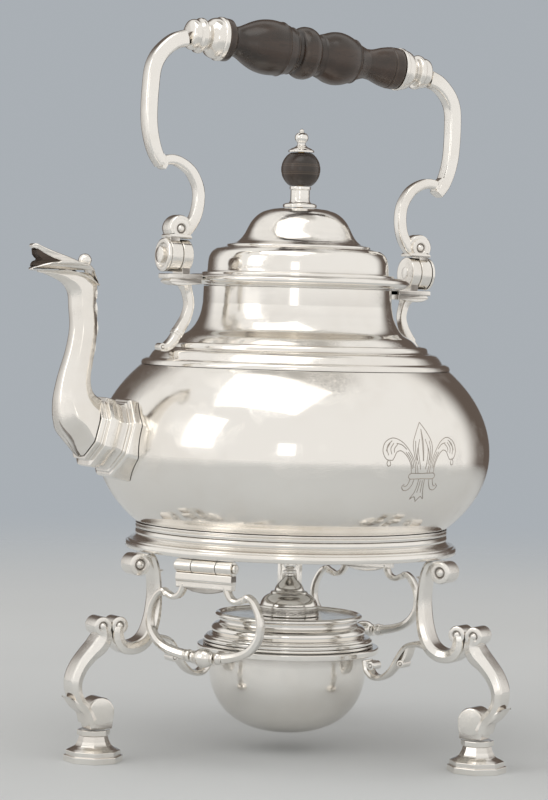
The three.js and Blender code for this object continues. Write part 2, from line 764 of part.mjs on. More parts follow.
function shoulderMoulding() {
  const seat = [];
  for (let index = 0; index <= 4; index += 1) {
    const radius = THREE.MathUtils.lerp(mouldingRadius, creaseRadius + seatGap, index / 4);
    seat.push(new THREE.Vector2(radius, bellySeat(radius)));
  }
  return turned([...mouldingOutside().slice(1), ...seat.toReversed()]);
}

// Share of the collar's width and height, from the bore's lower edge round to the rebate.
const collar_shares = [[0, 0], [0.4, 0], [0.85, 0.2], [1, 0.5], [1, 0.72], [0.88, 0.93], [0.6, 1]];

function neckCollar() {
  const rebateRadius = lidRadius + lidPlay;
  return turned([
    ...outline(collar_shares, collarRadius - neckBore, collarHeight, neckBore, collarBase),
    new THREE.Vector2(rebateRadius, collarTop),
    new THREE.Vector2(rebateRadius, collarTop - collarRebate),
    new THREE.Vector2(neckBore, collarTop - collarRebate),
  ]);
}

function footRing() {
  const [rimShare, rimDrop] = base_shares.at(-1);
  const ledge = bellyPoint(-Math.acos(footRingRadius / bellyRadius)).y - seatGap;
  const top = baseLine + rimDrop * baseDome - seatGap;
  const bore = spigotRadius - spigotWall;
  const loop = [
    [footRingRadius, kettleSeat], [footRingRadius, ledge], [baseRadius, baseLine - seatGap],
    [rimShare * baseRadius, top], [bore, top], [bore, kettleSeat - spigotDepth],
    [spigotRadius, kettleSeat - spigotDepth], [spigotRadius, kettleSeat],
  ];
  return turned(loop.map(([r, z]) => new THREE.Vector2(r, z)));
}

// The belly as a full solid, grown by the seat gap, that cuts what is soldered to it.
function bellyCutter() {
  const points = bellyCurve(baseRadius, creaseRadius, -seatGap, 10);
  return turned([new THREE.Vector2(0, points[0].y), ...points, new THREE.Vector2(0, points.at(-1).y)]);
}

// Spout, drawn in the XZ plane from its root inside the belly, outward and upward.
const spoutRoot = bellyRadius - spoutInset;

// Share of half the base's width across flats, and of its length.
const spoutBase_shares = [
  [0, 0], [1, 0], [1, 0.4], [0.86, 0.43], [0.8, 0.52], [0.81, 0.68], [0.88, 0.71], [0.88, 0.86], [0.79, 0.88],
  [0.79, 1], [0, 1],
];

// An eight-sided solid on the base's tilted axis.
function onSpoutAxis(profile) {
  const geometry = octagonal(profile).rotateY(radians(spoutTilt - 90));
  return solid(geometry.translate(-spoutRoot, 0, bellyLine));
}

function spoutBase() {
  const boreCorner = cornerOf(spoutRootFlats * bore_share);
  const boreLength = spoutBaseLength + 2 * cutOverrun;
  const bore = onSpoutAxis(outline(square_shares, boreCorner, boreLength, 0, -cutOverrun));
  const whole = onSpoutAxis(outline(spoutBase_shares, cornerOf(spoutBaseFlats), spoutBaseLength));
  return whole.subtract(bore).subtract(bellyCutter());
}

// Where the base's axis ends.
const baseEndOut = spoutRoot + spoutBaseLength * Math.cos(radians(spoutTilt));
const baseEndUp = bellyLine + spoutBaseLength * Math.sin(radians(spoutTilt));

// Stations of the tube past its base: outward and up from the base's end as shares of spoutRise,
// width across flats as a share of spoutRootFlats, and heading in degrees over the horizontal.
const tubeHeadings = [23, 48, 65, 85, 98, 103, 95, 84, 70, 50];
const tube_shares = [
  [0.03, 0.063, 0.99], [0.108, 0.129, 0.997], [0.127, 0.195, 0.84], [0.129, 0.246, 0.686],
  [0.115, 0.34, 0.586], [0.086, 0.452, 0.533], [0.065, 0.584, 0.504], [0.076, 0.717, 0.493],
  [0.096, 0.796, 0.536], [0.127, 0.851, 0.465],
];
const throatHeadings = [70, 45, 14, 10];
const throat_shares = [
  [0.096, 0.796, 0.357], [0.141, 0.86, 0.279], [0.207, 0.905, 0.179], [0.35, 0.934, 0.179],
];
const narrowStations = 8; // the bore narrows with the tube up to here

// An octagon across the tube at a station.
function octagon([outward, up, flats], heading) {
  const corner = cornerOf(flats * spoutRootFlats);
  const across = new THREE.Vector3(Math.sin(radians(heading)), 0, Math.cos(radians(heading)));
  const middle = new THREE.Vector3(-baseEndOut - outward * spoutRise, 0, baseEndUp + up * spoutRise);
  const ring = [];
  for (let index = 0; index < octagonSides; index += 1) {
    const angle = ((index + 1 / 2) / octagonSides) * 2 * Math.PI;
    const point = middle.clone().addScaledVector(across, corner * Math.cos(angle));
    ring.push(point.setY(corner * Math.sin(angle)));
  }
  return ring;
}

// The station on the base's axis at a distance past the base's end.
function spoutStart(distance) {
  const along = distance / spoutRise;
  return [along * Math.cos(radians(spoutTilt)), along * Math.sin(radians(spoutTilt)), 1];
}

// Side outline of the beaked head, as shares of spoutRise outward and up from the base's end.
const head_shares = [
  [0.008, 0.724], [0.001, 0.774], [0.008, 0.811], [0.027, 0.85], [0.036, 0.899], [0.069, 0.926],
  [0.104, 0.923], [0.174, 0.94], [0.242, 0.96], [0.3845, 1], [0.383, 0.984], [0.214, 0.915],
  [0.372, 0.886], [0.383, 0.871], [0.344, 0.839], [0.283, 0.835], [0.231, 0.821], [0.206, 0.804],
  [0.193, 0.777], [0.178, 0.728],
];
// Plan of the head: share of spoutRise outward, and half width as a share of headWidth.
const headPlan_shares = [[-0.011, 0.42], [0.031, 0.5], [0.18, 0.5], [0.287, 0.34], [0.393, 0.18]];

function spoutHead() {
  const side = outline(head_shares, -spoutRise, spoutRise, -baseEndOut, baseEndUp);
  const plan = outline(headPlan_shares, -spoutRise, headWidth, -baseEndOut);
  const farSide = plan.toReversed().map(({ x, y }) => new THREE.Vector2(x, -y));
  const geometry = new THREE.ExtrudeGeometry(new THREE.Shape([...plan, ...farSide]), {
    depth: spoutRise,
    bevelEnabled: false,
    steps: 1,
  });
  const prism = solid(geometry.translate(0, 0, baseEndUp + spoutRise / 2));
  return plate(side, headWidth + cutOverrun).intersect(prism);
}

function spoutTube() {
  const start = spoutStart(seatGap);
  const headings = [spoutTilt, ...tubeHeadings];
  return loft([start, ...tube_shares].map((station, index) => octagon(station, headings[index])));
}

function spoutBore() {
  const start = spoutStart(-cutOverrun);
  const narrowed = [start, ...tube_shares.slice(0, narrowStations)].map(([outward, up, flats]) => [
    outward, up, flats * bore_share,
  ]);
  const headings = [spoutTilt, ...tubeHeadings.slice(0, narrowStations), ...throatHeadings];
  return loft([...narrowed, ...throat_shares].map((station, index) => octagon(station, headings[index])));
}

function spout() {
  return spoutTube().add(spoutHead()).subtract(spoutBore());
}

const crest_shares = [0.071, 0.931];

function spoutCrest() {
  const [outward, up] = crest_shares;
  const geometry = new THREE.SphereGeometry(crestRadius, smallSides, smallSides / 2);
  const x = -baseEndOut - outward * spoutRise;
  const z = baseEndUp + up * spoutRise + seatGap;
  const raised = outline(head_shares, -spoutRise, spoutRise, -baseEndOut, baseEndUp + seatGap);
  return solid(geometry.rotateX(Math.PI / 2).translate(x, 0, z)).subtract(plate(raised, headWidth));
}

// Swing handle

// Brackets and hinges are drawn on the +X side. Lean is the angle by which the hinge line
// rises outward there.
const hingeSides = { front: { turn: 180, lean: hingeTilt }, rear: { turn: 0, lean: -hingeTilt } };

// A disc on the hinge line between two distances from the kettle's axis.
function hingeDiscGeometry(radius, from, to, sides = middleSides) {
  const geometry = new THREE.CylinderGeometry(radius, radius, to - from, sides);
  return geometry.rotateZ(Math.PI / 2).translate((from + to) / 2, 0, 0);
}

function hingeDisc(radius, from, to, sides = middleSides) {
  return solid(hingeDiscGeometry(radius, from, to, sides));
}

// Bracket strap: distance outside its line and height over the toe, as shares of its rise.
const bracketLine = creaseRadius + bracketStandoff;
const toe_share = 0.42; // depth of the toe under the moulding's top, as a share of its height
const bracket_shares = [
  [-0.01, 1.05], [-0.08, 0.9], [-0.115, 0.72], [-0.07, 0.53], [0.02, 0.37], [0.13, 0.22], [0.27, 0.09],
  [0.37, 0.01],
];
const bracketStrapWidth_shares = [0.12, 0.11, 0.11, 0.12, 0.13, 0.14, 0.13, 0.1];

function bracket(lean) {
  const tilted = (radius, from, to) =>
    solid(hingeDiscGeometry(radius, from, to).rotateY(-radians(lean)).translate(0, 0, hingeLine));
  const pivot = hingeLine + hingeReach * Math.sin(radians(lean));
  const shelfTop = pivot - shelfDrop;
  const shelfBottom = shelfTop - shelfThickness;
  const toe = shoulderTop - toe_share * (shoulderTop - bellySeat(mouldingRadius));
  const rise = shelfBottom - toe;
  const points = outline(bracket_shares, rise, rise, bracketLine, toe);
  const widths = bracketStrapWidth_shares.map((share) => share * rise);
  const shelfEnd = hingeReach + bailKnuckleThickness + washerThickness;
  const ear = tilted(hingeRadius, hingeReach - earThickness, hingeReach);
  const strap = plate(strip(points, widths), bracketWidth);
  const shelf = block(
    new THREE.Vector3(collarRadius + 2 * seatGap, -shelfWidth / 2, shelfBottom),
    new THREE.Vector3(shelfEnd, shelfWidth / 2, shelfTop),
  );
  const web = block(
    new THREE.Vector3(hingeReach - earThickness + webInset, -shelfWidth / 2, shelfTop - webInset),
    new THREE.Vector3(hingeReach - webInset, shelfWidth / 2, pivot),
  );
  const boreStart = hingeReach - earThickness - cutOverrun;
  const bore = tilted(hingePinRadius + pinPlay, boreStart, hingeReach + cutOverrun);
  const cutter = mouldingOutside(seatGap);
  const mouldingRoom = turned([
    new THREE.Vector2(0, cutter[0].y),
    ...cutter,
    new THREE.Vector2(0, cutter.at(-1).y),
  ]);
  return joined([strap, shelf, web, ear]).subtract(bore).subtract(mouldingRoom);
}

const knuckleStart = hingeReach + seatGap;
const washerStart = knuckleStart + bailKnuckleThickness + seatGap;
const headStart = washerStart + washerThickness;

function hingePin() {
  return joined([
    hingeDisc(hingePinRadius, hingeReach - earThickness - seatGap, headStart, smallSides),
    hingeDisc(washerRadius, washerStart, headStart),
    hingeDisc(hingeHeadRadius, headStart - seatGap, headStart + hingeHeadHeight, smallSides),
  ]);
}

// Arm outlines in the hinge line's frame: outward from hingeReach and up, as shares of bailRise.
const upperArm_shares = [
  [0.012, 0.981], [0.11, 0.933], [0.172, 0.838], [0.181, 0.743], [0.178, 0.59], [0.136, 0.448],
  [0.106, 0.405],
];
const lowerArm_shares = [
  [0.115, 0.425], [0.082, 0.438], [0.015, 0.433], [-0.051, 0.39], [-0.089, 0.324], [-0.096, 0.257],
  [-0.08, 0.181], [-0.047, 0.12], [-0.02, 0.1],
];
const armRoll_shares = [0.006, 0.125, 0.046];
const armCollar_shares = [[-0.05, 0.082], [0.066, 0.082], [0.066, 0.098], [-0.05, 0.098]];

function bailArm(leanRise) {
  const rise = bailRise + leanRise;
  const place = (shares) => outline(shares, rise, rise, hingeReach);
  const upper = place(upperArm_shares);
  const lower = outline(lowerArm_shares, bailRise, bailRise, hingeReach);
  const [rollOut, rollUp, rollRadius] = armRoll_shares.map((share) => share * bailRise);
  const neck = block(
    new THREE.Vector3(knuckleStart, -hingeRadius / 2, hingeRadius / 2),
    new THREE.Vector3(knuckleStart + bailKnuckleThickness, hingeRadius / 2, rollUp),
  );
  const knuckle = hingeDisc(hingeRadius, knuckleStart, knuckleStart + bailKnuckleThickness);
  const bore = hingeDisc(hingePinRadius + pinPlay, hingeReach - earThickness, washerStart + cutOverrun);
  const ferruleRoom = block(
    new THREE.Vector3(0, -ferruleRadius, 0),
    new THREE.Vector3(ferruleEnd + 2 * seatGap, ferruleRadius, rise + ferruleRadius),
  );
  const upperStrap = plate(strip(upper, upper.map(() => upperScrollWidth)), upperScrollThickness);
  return joined([
    upperStrap.subtract(ferruleRoom),
    plate(strip(lower, lower.map(() => lowerScrollWidth)), lowerScrollThickness),
    plate(outline(armCollar_shares, bailRise, bailRise, hingeReach), armCollarWidth),
    roll(hingeReach + rollOut, rollUp, rollRadius, armCollarWidth, middleSides),
    neck,
    knuckle,
  ]).subtract(bore);
}

const ferrule_shares = [
  [0, 0], [0.93, 0], [1, 0.12], [1, 0.38], [0.9, 0.48], [0.6, 0.51], [0.56, 0.57], [0.7, 0.62], [0.8, 0.7],
  [0.8, 0.9], [0.72, 1], [0, 1],
];

function ferrule() {
  const bore = rod(gripRodRadius + pinPlay, -cutOverrun, gripRodEngagement + seatGap);
  const shape = turnedGeometry(outline(ferrule_shares, ferruleRadius, ferruleLength), middleSides);
  return solid(shape).subtract(bore);
}

// Turned profile of the grip from its spout end: share of its radius and of its length.
const grip_shares = [
  [0.766, 0], [0.766, 0.035], [0.57, 0.05], [0.526, 0.07], [0.584, 0.1], [0.752, 0.14], [0.934, 0.2],
  [1, 0.26], [0.971, 0.31], [0.898, 0.345], [0.774, 0.38], [0.73, 0.405], [0.832, 0.42], [0.949, 0.46],
  [0.832, 0.5], [0.73, 0.515], [0.73, 0.545], [0.832, 0.575], [0.934, 0.61], [0.964, 0.65], [0.905, 0.69],
  [0.788, 0.73], [0.642, 0.77], [0.54, 0.81], [0.577, 0.85], [0.7, 0.91], [0.752, 0.95], [0.752, 1],
];

function grip() {
  const bore = gripRodRadius + pinPlay;
  const skin = outline(grip_shares, gripRadius, gripLength, 0, -gripLength / 2);
  const ends = [new THREE.Vector2(bore, gripLength / 2), new THREE.Vector2(bore, -gripLength / 2)];
  return turned([...skin, ...ends], middleSides);
}

function gripRod() {
  const half = gripLength / 2 + seatGap + gripRodEngagement;
  return rod(gripRodRadius, -half, half);
}

// The handle's group stands on the hinge line. Its wooden grip leans a little more.
function swingHandle() {
  const handle = new THREE.Group();
  handle.position.z = hingeLine;
  handle.rotation.y = radians(hingeTilt);
  const bar = new THREE.Group();
  bar.position.z = bailRise;
  bar.rotation.y = radians(gripTilt);
  const core = new THREE.Group();
  core.rotation.y = Math.PI / 2;
  core.add(piece("grip", grip(), darkWood), piece("grip_rod", gripRod(), castSilver));
  bar.add(core);
  Object.entries(hingeSides).forEach(([side, { turn, lean }]) => {
    const leanRise = Math.sign(lean) * ferruleEnd * Math.sin(radians(gripTilt));
    handle.add(turnedGroup(turn, [piece(`bail_arm_${side}`, bailArm(leanRise), castSilver)]));
    const cap = piece(`ferrule_${side}`, ferrule(), castSilver);
    cap.rotation.y = Math.PI / 2;
    cap.position.x = gripLength / 2 + seatGap;
    bar.add(turnedGroup(turn, [cap]));
  });
  handle.add(bar);
  return handle;
}

function kettleBody() {
  const group = new THREE.Group();
  group.add(piece("kettle_body", kettleShell(), silver));
  group.add(piece("shoulder_moulding", shoulderMoulding(), silver));
  group.add(piece("neck_collar", neckCollar(), silver));
  group.add(piece("foot_ring", footRing(), silver));
  group.add(piece("spout_base", spoutBase(), castSilver));
  group.add(piece("spout", spout(), castSilver));
  group.add(piece("spout_crest", spoutCrest(), castSilver));
  const hinges = new THREE.Group();
  hinges.position.z = hingeLine;
  hinges.rotation.y = radians(hingeTilt);
  Object.entries(hingeSides).forEach(([side, { turn, lean }]) => {
    group.add(turnedGroup(turn, [piece(`bracket_${side}`, bracket(lean), castSilver)]));
    hinges.add(turnedGroup(turn, [piece(`hinge_pin_${side}`, hingePin(), castSilver)]));
  });
  group.add(hinges);
  return group;
}

// Lid

// Share of the lid's radius and height, up the outside to the rod's hole.
const lid_shares = [
  [1, 0], [1, 0.08], [0.944, 0.087], [0.94, 0.19], [0.923, 0.315], [0.9, 0.366], [0.865, 0.403],
  [0.79, 0.434], [0.742, 0.45], [0.742, 0.472], [0.7, 0.485], [0.646, 0.51], [0.573, 0.606], [0.51, 0.77],
  [0.435, 0.887], [0.354, 0.96], [0.21, 1],
];
const firstRaised = 3; // the outline's points from here on are raised sheet

function lidShell() {
  const hole = rodRadius + pinPlay;
  const outside = outline(lid_shares, lidRadius, lidHeight, 0, lidBase);
  const raised = lid_shares.slice(firstRaised);
  const inside = outline(raised, lidRadius, lidHeight, -lidWall, lidBase - lidWall);
  const baseBore = bezelRadius - bezelWall;
  return turned([
    ...outside,
    new THREE.Vector2(hole, lidTop),
    new THREE.Vector2(hole, lidTop - lidWall),
    ...inside.toReversed(),
    new THREE.Vector2(inside[0].x, lidBase + lidFlange),
    new THREE.Vector2(baseBore, lidBase + lidFlange),
    new THREE.Vector2(baseBore, lidBase),
  ]);
}

function lidBezel() {
  const bottom = lidBase - seatGap - bezelDepth;
  return turned(outline(square_shares, bezelWall, bezelDepth, bezelRadius - bezelWall, bottom));
}

const stemBase = lidTop + seatGap;
const ballBase = stemBase + finialStemHeight + seatGap;
const capBase = ballBase + finialBallHeight + seatGap;

function rodHole() {
  return rod(rodRadius + pinPlay, lidBase, capBase + rodEngagement + seatGap);
}

const stem_shares = [
  [0, 0], [1, 0], [1, 0.2], [0.62, 0.26], [0.565, 0.35], [0.565, 0.86], [0.62, 0.9], [0.62, 1], [0, 1],
];

function finialStem() {
  const shape = turned(outline(stem_shares, finialRadius, finialStemHeight, 0, stemBase), middleSides);
  return shape.subtract(rodHole());
}

// A ball with a flat at each end.
function finialBall() {
  const middle = ballBase + finialBallHeight / 2;
  const end = Math.asin(finialBallHeight / 2 / finialBallRadius);
  const profile = [new THREE.Vector2(0, ballBase)];
  for (let index = 0; index <= 8; index += 1) {
    const angle = THREE.MathUtils.lerp(-end, end, index / 8);
    const point = new THREE.Vector2(Math.cos(angle), Math.sin(angle)).multiplyScalar(finialBallRadius);
    profile.push(point.setY(middle + point.y));
  }
  profile.push(new THREE.Vector2(0, ballBase + finialBallHeight));
  return turned(profile, middleSides).subtract(rodHole());
}

const finialCap_shares = [
  [0, 0], [1, 0], [1, 0.15], [0.6, 0.27], [0.36, 0.35], [0.34, 0.42], [0.47, 0.5], [0.47, 0.66], [0.26, 0.76],
  [0.22, 0.88], [0.16, 0.97], [0, 1],
];

function finialCap() {
  const shape = turned(outline(finialCap_shares, finialCapRadius, finialCapHeight, 0, capBase), middleSides);
  return shape.subtract(rodHole());
}

const nutTop = lidTop - lidWall - seatGap;

function finialRod() {
  return rod(rodRadius, nutTop - nutHeight - rodRadius, capBase + rodEngagement);
}

function finialNut() {
  return rod(nutRadius, nutTop - nutHeight, nutTop, nutSides).subtract(rodHole());
}

function lid() {
  const group = new THREE.Group();
  group.add(piece("lid_shell", lidShell(), silver));
  group.add(piece("lid_bezel", lidBezel(), innerSilver));
  group.add(piece("finial_stem", finialStem(), silver));
  group.add(piece("finial_ball", finialBall(), darkWood));
  group.add(piece("finial_cap", finialCap(), silver));
  group.add(piece("finial_rod", finialRod(), brass));
  group.add(piece("finial_nut", finialNut(), castSilver));
  return group;
}

// The whole, moved so that the middle of its box stands over the origin.
const kettleOnStand = new THREE.Group();
kettleOnStand.add(stand(), lamp(), kettleBody(), lid(), swingHandle());
const extent = new THREE.Box3().setFromObject(kettleOnStand);
kettleOnStand.position.x = -(extent.min.x + extent.max.x) / 2;
kettleOnStand.position.y = -(extent.min.y + extent.max.y) / 2;

export default kettleOnStand;
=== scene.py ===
"""Looks of a silver tea kettle with its stand and spirit lamp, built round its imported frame.

The classes hold sizes in millimetres, in a frame whose Z axis is the kettle's own axis and
whose floor is z = 0, with the spout along -X. Meshes are written in metres in the row's frame.
"""

import logging
import math
from dataclasses import dataclass
from enum import Enum
from typing import Callable, Sequence

import bmesh
import bpy
from mathutils import Matrix, Vector
from mathutils.geometry import tessellate_polygon


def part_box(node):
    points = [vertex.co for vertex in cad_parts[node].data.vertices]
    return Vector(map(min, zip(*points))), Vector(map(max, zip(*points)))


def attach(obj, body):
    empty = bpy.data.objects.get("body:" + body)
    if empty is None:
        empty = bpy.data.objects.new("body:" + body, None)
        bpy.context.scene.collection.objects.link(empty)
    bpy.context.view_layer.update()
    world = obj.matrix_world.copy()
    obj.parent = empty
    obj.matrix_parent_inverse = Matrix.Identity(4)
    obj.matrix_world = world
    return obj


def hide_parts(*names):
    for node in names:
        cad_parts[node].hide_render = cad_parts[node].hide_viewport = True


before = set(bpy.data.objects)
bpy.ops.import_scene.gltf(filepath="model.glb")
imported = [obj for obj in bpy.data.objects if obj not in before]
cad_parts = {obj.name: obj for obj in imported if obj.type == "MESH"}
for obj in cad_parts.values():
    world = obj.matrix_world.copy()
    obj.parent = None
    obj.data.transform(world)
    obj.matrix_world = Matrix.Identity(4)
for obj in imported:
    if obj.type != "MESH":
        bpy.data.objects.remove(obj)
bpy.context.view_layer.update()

LOG = logging.getLogger("tea_kettle")

Point = tuple[float, float]
Face = tuple[int, ...]
Colour = tuple[float, float, float, float]
Placing = Callable[[float, float], Point]
Mesh, Material, Socket, Tree = bpy.types.Mesh, bpy.types.Material, bpy.types.NodeSocket, bpy.types.NodeTree

MM = 0.001
ROUND = 128
FINE_ROUND = 64
SMOOTH_ANGLE = math.radians(32)
FULL_BEND = math.radians(55)
ON_AXIS = 1e-6
VALUE, VECTOR, WHOLE = "NodeSocketFloat", "NodeSocketVector", "NodeSocketInt"
GEOMETRY, MATERIAL = "NodeSocketGeometry", "NodeSocketMaterial"

LOW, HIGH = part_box("stand_ring")
AXIS = Vector(((LOW + HIGH).x / 2, 0, 0))
AXIS_SHIFT = Matrix.Translation((AXIS.x / MM, 0, 0))
Z_TO_X = Matrix.Rotation(math.radians(90), 4, "Y")
Z_TO_Y = Matrix.Rotation(math.radians(90), 4, "X")


class Body(Enum):
    """The moving bodies that pieces ride on."""

    STAND = "stand"
    NEAR_HANDLE = "near_handle"
    FAR_HANDLE = "far_handle"
    LAMP = "lamp"
    SNUFFER = "snuffer"
    KETTLE = "kettle"
    LID = "lid"
    SWING_HANDLE = "swing_handle"


class Slot(Enum):
    """The record's material slots."""

    POLISHED = "polished_silver"
    CAST = "cast_silver"
    INNER = "inner_silver"
    WOOD = "dark_wood"
    BRASS = "brass_fittings"
    COTTON = "wick_cotton"


class Bend:
    """A smooth stretch of an outline, from the corner before it through some places."""

    def __init__(self, fillet: float, steps: int, *places: Point) -> None:
        """Takes the radius that rounds its end, the straight steps between two places, and the places."""
        self.fillet, self.steps, self.places = fillet, steps, places


def fitted(wide: float = 1.0, tall: float = 1.0, base: float = 0.0, out: float = 0.0) -> Placing:
    """Places whose coordinates are scaled, then moved out and up."""
    return lambda x, y: (out + x * wide, base + y * tall)


def outline(
    parts: Sequence[Sequence[float] | Bend], at: Placing = fitted(), closed: bool = False
) -> list[Point]:
    """The points of a planar outline with its corners rounded.

    Args:
        parts: corners, as two coordinates and a fillet if any, and smooth stretches between them.
        at: gives the place of two coordinates.
        closed: whether the last point joins the first.

    Returns:
        The points in order.
    """
    corners: list[tuple[Point, float]] = []
    for part in parts:
        if isinstance(part, Bend):
            places = [at(*place) for place in part.places]
            smooth = smooth_line([corners[-1][0], *places], part.steps)
            corners += [*((place, 0.0) for place in smooth[1:-1]), (places[-1], part.fillet)]
        else:
            corners.append((at(*part[:2]), part[2] if len(part) > 2 else 0.0))
    arc_steps, most = 4, 0.45
    made: list[Point] = []
    for index, (place, fillet) in enumerate(corners):
        corner = Vector(place)
        before = Vector(corners[index - 1][0]) - corner
        after = Vector(corners[(index + 1) % len(corners)][0]) - corner
        end = index in (0, len(corners) - 1) and not closed
        if fillet <= 0 or end or before.length == 0 or after.length == 0:
            made.append(place)
            continue
        reach = min(fillet, most * before.length, most * after.length)
        first = corner + before.normalized() * reach
        last = corner + after.normalized() * reach
        for step in range(arc_steps + 1):
            t = step / arc_steps
            made.append(tuple((1 - t) ** 2 * first + 2 * t * (1 - t) * corner + t**2 * last))
    return made


def smooth_line(knots: Sequence[Sequence[float]], steps: int) -> list[tuple[float, ...]]:
    """A Catmull-Rom curve with chord-length spacing through every knot.

    Args:
        knots: places that the curve passes, of any dimension.
        steps: straight steps between two knots.

    Returns:
        The curve's points.
    """
    places = [Vector(k) for k in knots]
    if len(places) < 3:
        return [tuple(p) for p in places]
    places = [2 * places[0] - places[1], *places, 2 * places[-1] - places[-2]]
    made: list[tuple[float, ...]] = []
    for a, b, c, d in zip(places, places[1:], places[2:], places[3:]):
        t0 = 0.0
        t1 = t0 + max((b - a).length, 1e-6) ** 0.5
        t2 = t1 + max((c - b).length, 1e-6) ** 0.5
        t3 = t2 + max((d - c).length, 1e-6) ** 0.5
        for step in range(steps):
            t = t1 + (t2 - t1) * step / steps
            ab = a * ((t1 - t) / (t1 - t0)) + b * ((t - t0) / (t1 - t0))
            bc = b * ((t2 - t) / (t2 - t1)) + c * ((t - t1) / (t2 - t1))
            cd = c * ((t3 - t) / (t3 - t2)) + d * ((t - t2) / (t3 - t2))
            abc = ab * ((t2 - t) / (t2 - t0)) + bc * ((t - t0) / (t2 - t0))
            bcd = bc * ((t3 - t) / (t3 - t1)) + cd * ((t - t1) / (t3 - t1))
            made.append(tuple(abc * ((t2 - t) / (t2 - t1)) + bcd * ((t - t1) / (t2 - t1))))
    made.append(tuple(places[-2]))
    return made


def interpolated(table: Sequence[Point], x: float) -> float:
    """The value at a place of a table of places and values, by straight lines."""
    for (a, low), (b, high) in zip(table, table[1:]):
        if x <= b:
            return low + (high - low) * max(0.0, x - a) / (b - a)
    return table[-1][1]


@dataclass
class Section:
    """A section that is turned about Z, as radius and height of each point, in millimetres."""

    points: Sequence[Point]
    segments: int = ROUND


@dataclass
class Solid:
    """A closed shape as points, in millimetres, and faces."""

    points: list[Vector]
    faces: list[Face]
    merged: bool = False

    def placed(self, matrix: Matrix) -> "Solid":
        """The solid moved by a matrix."""
        return Solid([matrix @ p for p in self.points], list(self.faces), self.merged)

    def to_bmesh(self) -> bmesh.types.BMesh:
        """The solid as a new bmesh with its faces pointing out."""
        mesh = bmesh.new()
        corners = [mesh.verts.new(p) for p in self.points]
        for face in self.faces:
            mesh.faces.new([corners[i] for i in face])
        if not self.merged:
            bmesh.ops.remove_doubles(mesh, verts=mesh.verts, dist=1e-4)
        bmesh.ops.recalc_face_normals(mesh, faces=mesh.faces)
        return mesh

    def mesh(self, matrix: Matrix = Matrix.Identity(4)) -> Mesh:
        """The solid as a new mesh, moved by a matrix."""
        shape, data = self.to_bmesh(), bpy.data.meshes.new("solid")
        bmesh.ops.transform(shape, matrix=matrix, verts=shape.verts)
        shape.to_mesh(data)
        shape.free()
        return data

    def clean(self) -> "Solid":
        """The solid with the points that coincide made one."""
        mesh = self.to_bmesh()
        mesh.verts.index_update()
        faces = [tuple(v.index for v in f.verts) for f in mesh.faces]
        result = Solid([v.co.copy() for v in mesh.verts], faces, True)
        mesh.free()
        return result


def turned_by(degrees: float) -> Matrix:
    """A turn about the kettle's axis."""
    return Matrix.Rotation(math.radians(degrees), 4, "Z")


def moved(x: float, y: float, z: float) -> Matrix:
    """A move, in millimetres."""
    return Matrix.Translation((x, y, z))


def side_faces(rings: Sequence[Sequence[object]], loop: bool = False) -> list[Face]:
    """Faces between rings of equal length that follow one another.

    Args:
        rings: the rings in order.
        loop: whether faces also join the last ring to the first.

    Returns:
        The faces, as indices of the rings' points in order.
    """
    count, rows = len(rings[0]), len(rings)
    pairs = [(row * count, (row + 1) % rows * count) for row in range(rows if loop else rows - 1)]
    return [
        (low + i, low + (i + 1) % count, high + (i + 1) % count, high + i)
        for low, high in pairs
        for i in range(count)
    ]


def revolved(profile: Sequence[Point], segments: int = ROUND, turn: float = 0.0) -> Solid:
    """A round solid about Z.

    Args:
        profile: radius and height of each point, from axis to axis.
        segments: faces round the axis.
        turn: angle of the first point, in radians.

    Returns:
        The solid.
    """
    points: list[Vector] = []
    rings: list[list[int]] = []
    for radius, height in profile:
        if radius < ON_AXIS:
            rings.append([len(points)] * segments)
            points.append(Vector((0, 0, height)))
            continue
        rings.append(list(range(len(points), len(points) + segments)))
        for step in range(segments):
            angle = turn + 2 * math.pi * step / segments
            points.append(Vector((radius * math.cos(angle), radius * math.sin(angle), height)))
    faces: list[Face] = []
    for low, high in zip(rings, rings[1:]):
        for step in range(segments):
            following = (step + 1) % segments
            face = tuple(dict.fromkeys((low[step], low[following], high[following], high[step])))
            if len(face) > 2:
                faces.append(face)
    return Solid(points, faces)


def lofted(rings: Sequence[Sequence[Vector]]) -> Solid:
    """A solid through rings of equal length, closed by a fan at each end.

    Args:
        rings: the rings in order.

    Returns:
        The solid.
    """
    count = len(rings[0])
    points = [p for ring in rings for p in ring]
    faces = side_faces(rings)
    for first, ring in ((0, rings[0]), ((len(rings) - 1) * count, rings[-1])):
        points.append(sum(ring, Vector()) / count)
        faces += [(first + i, first + (i + 1) % count, len(points) - 1) for i in range(count)]
    return Solid(points, faces)


def plate(rings: Sequence[Sequence[Vector]]) -> Solid:
    """A solid through rings of any outline, its two sides cut into triangles.

    Args:
        rings: the rings in order, each in a plane along XZ.

    Returns:
        The solid.
    """
    faces = side_faces(rings)
    for first, ring in ((0, rings[0]), ((len(rings) - 1) * len(rings[0]), rings[-1])):
        for face in tessellate_polygon([[Vector((p.x, p.z, 0)) for p in ring]]):
            faces.append(tuple(first + corner for corner in face))
    return Solid([p for ring in rings for p in ring], faces)


def inward(places: Sequence[Vector]) -> list[Vector]:
    """Directions into a counter-clockwise outline.

    Args:
        places: the outline's points.

    Returns:
        The direction at each point.
    """
    made = []
    for index, place in enumerate(places):
        before = (place - places[index - 1]).normalized()
        after = (places[(index + 1) % len(places)] - place).normalized()
        mean = before + after
        mean = mean.normalized() if mean.length > 0.3 else after
        made.append(Vector((-mean.y, mean.x)))
    return made


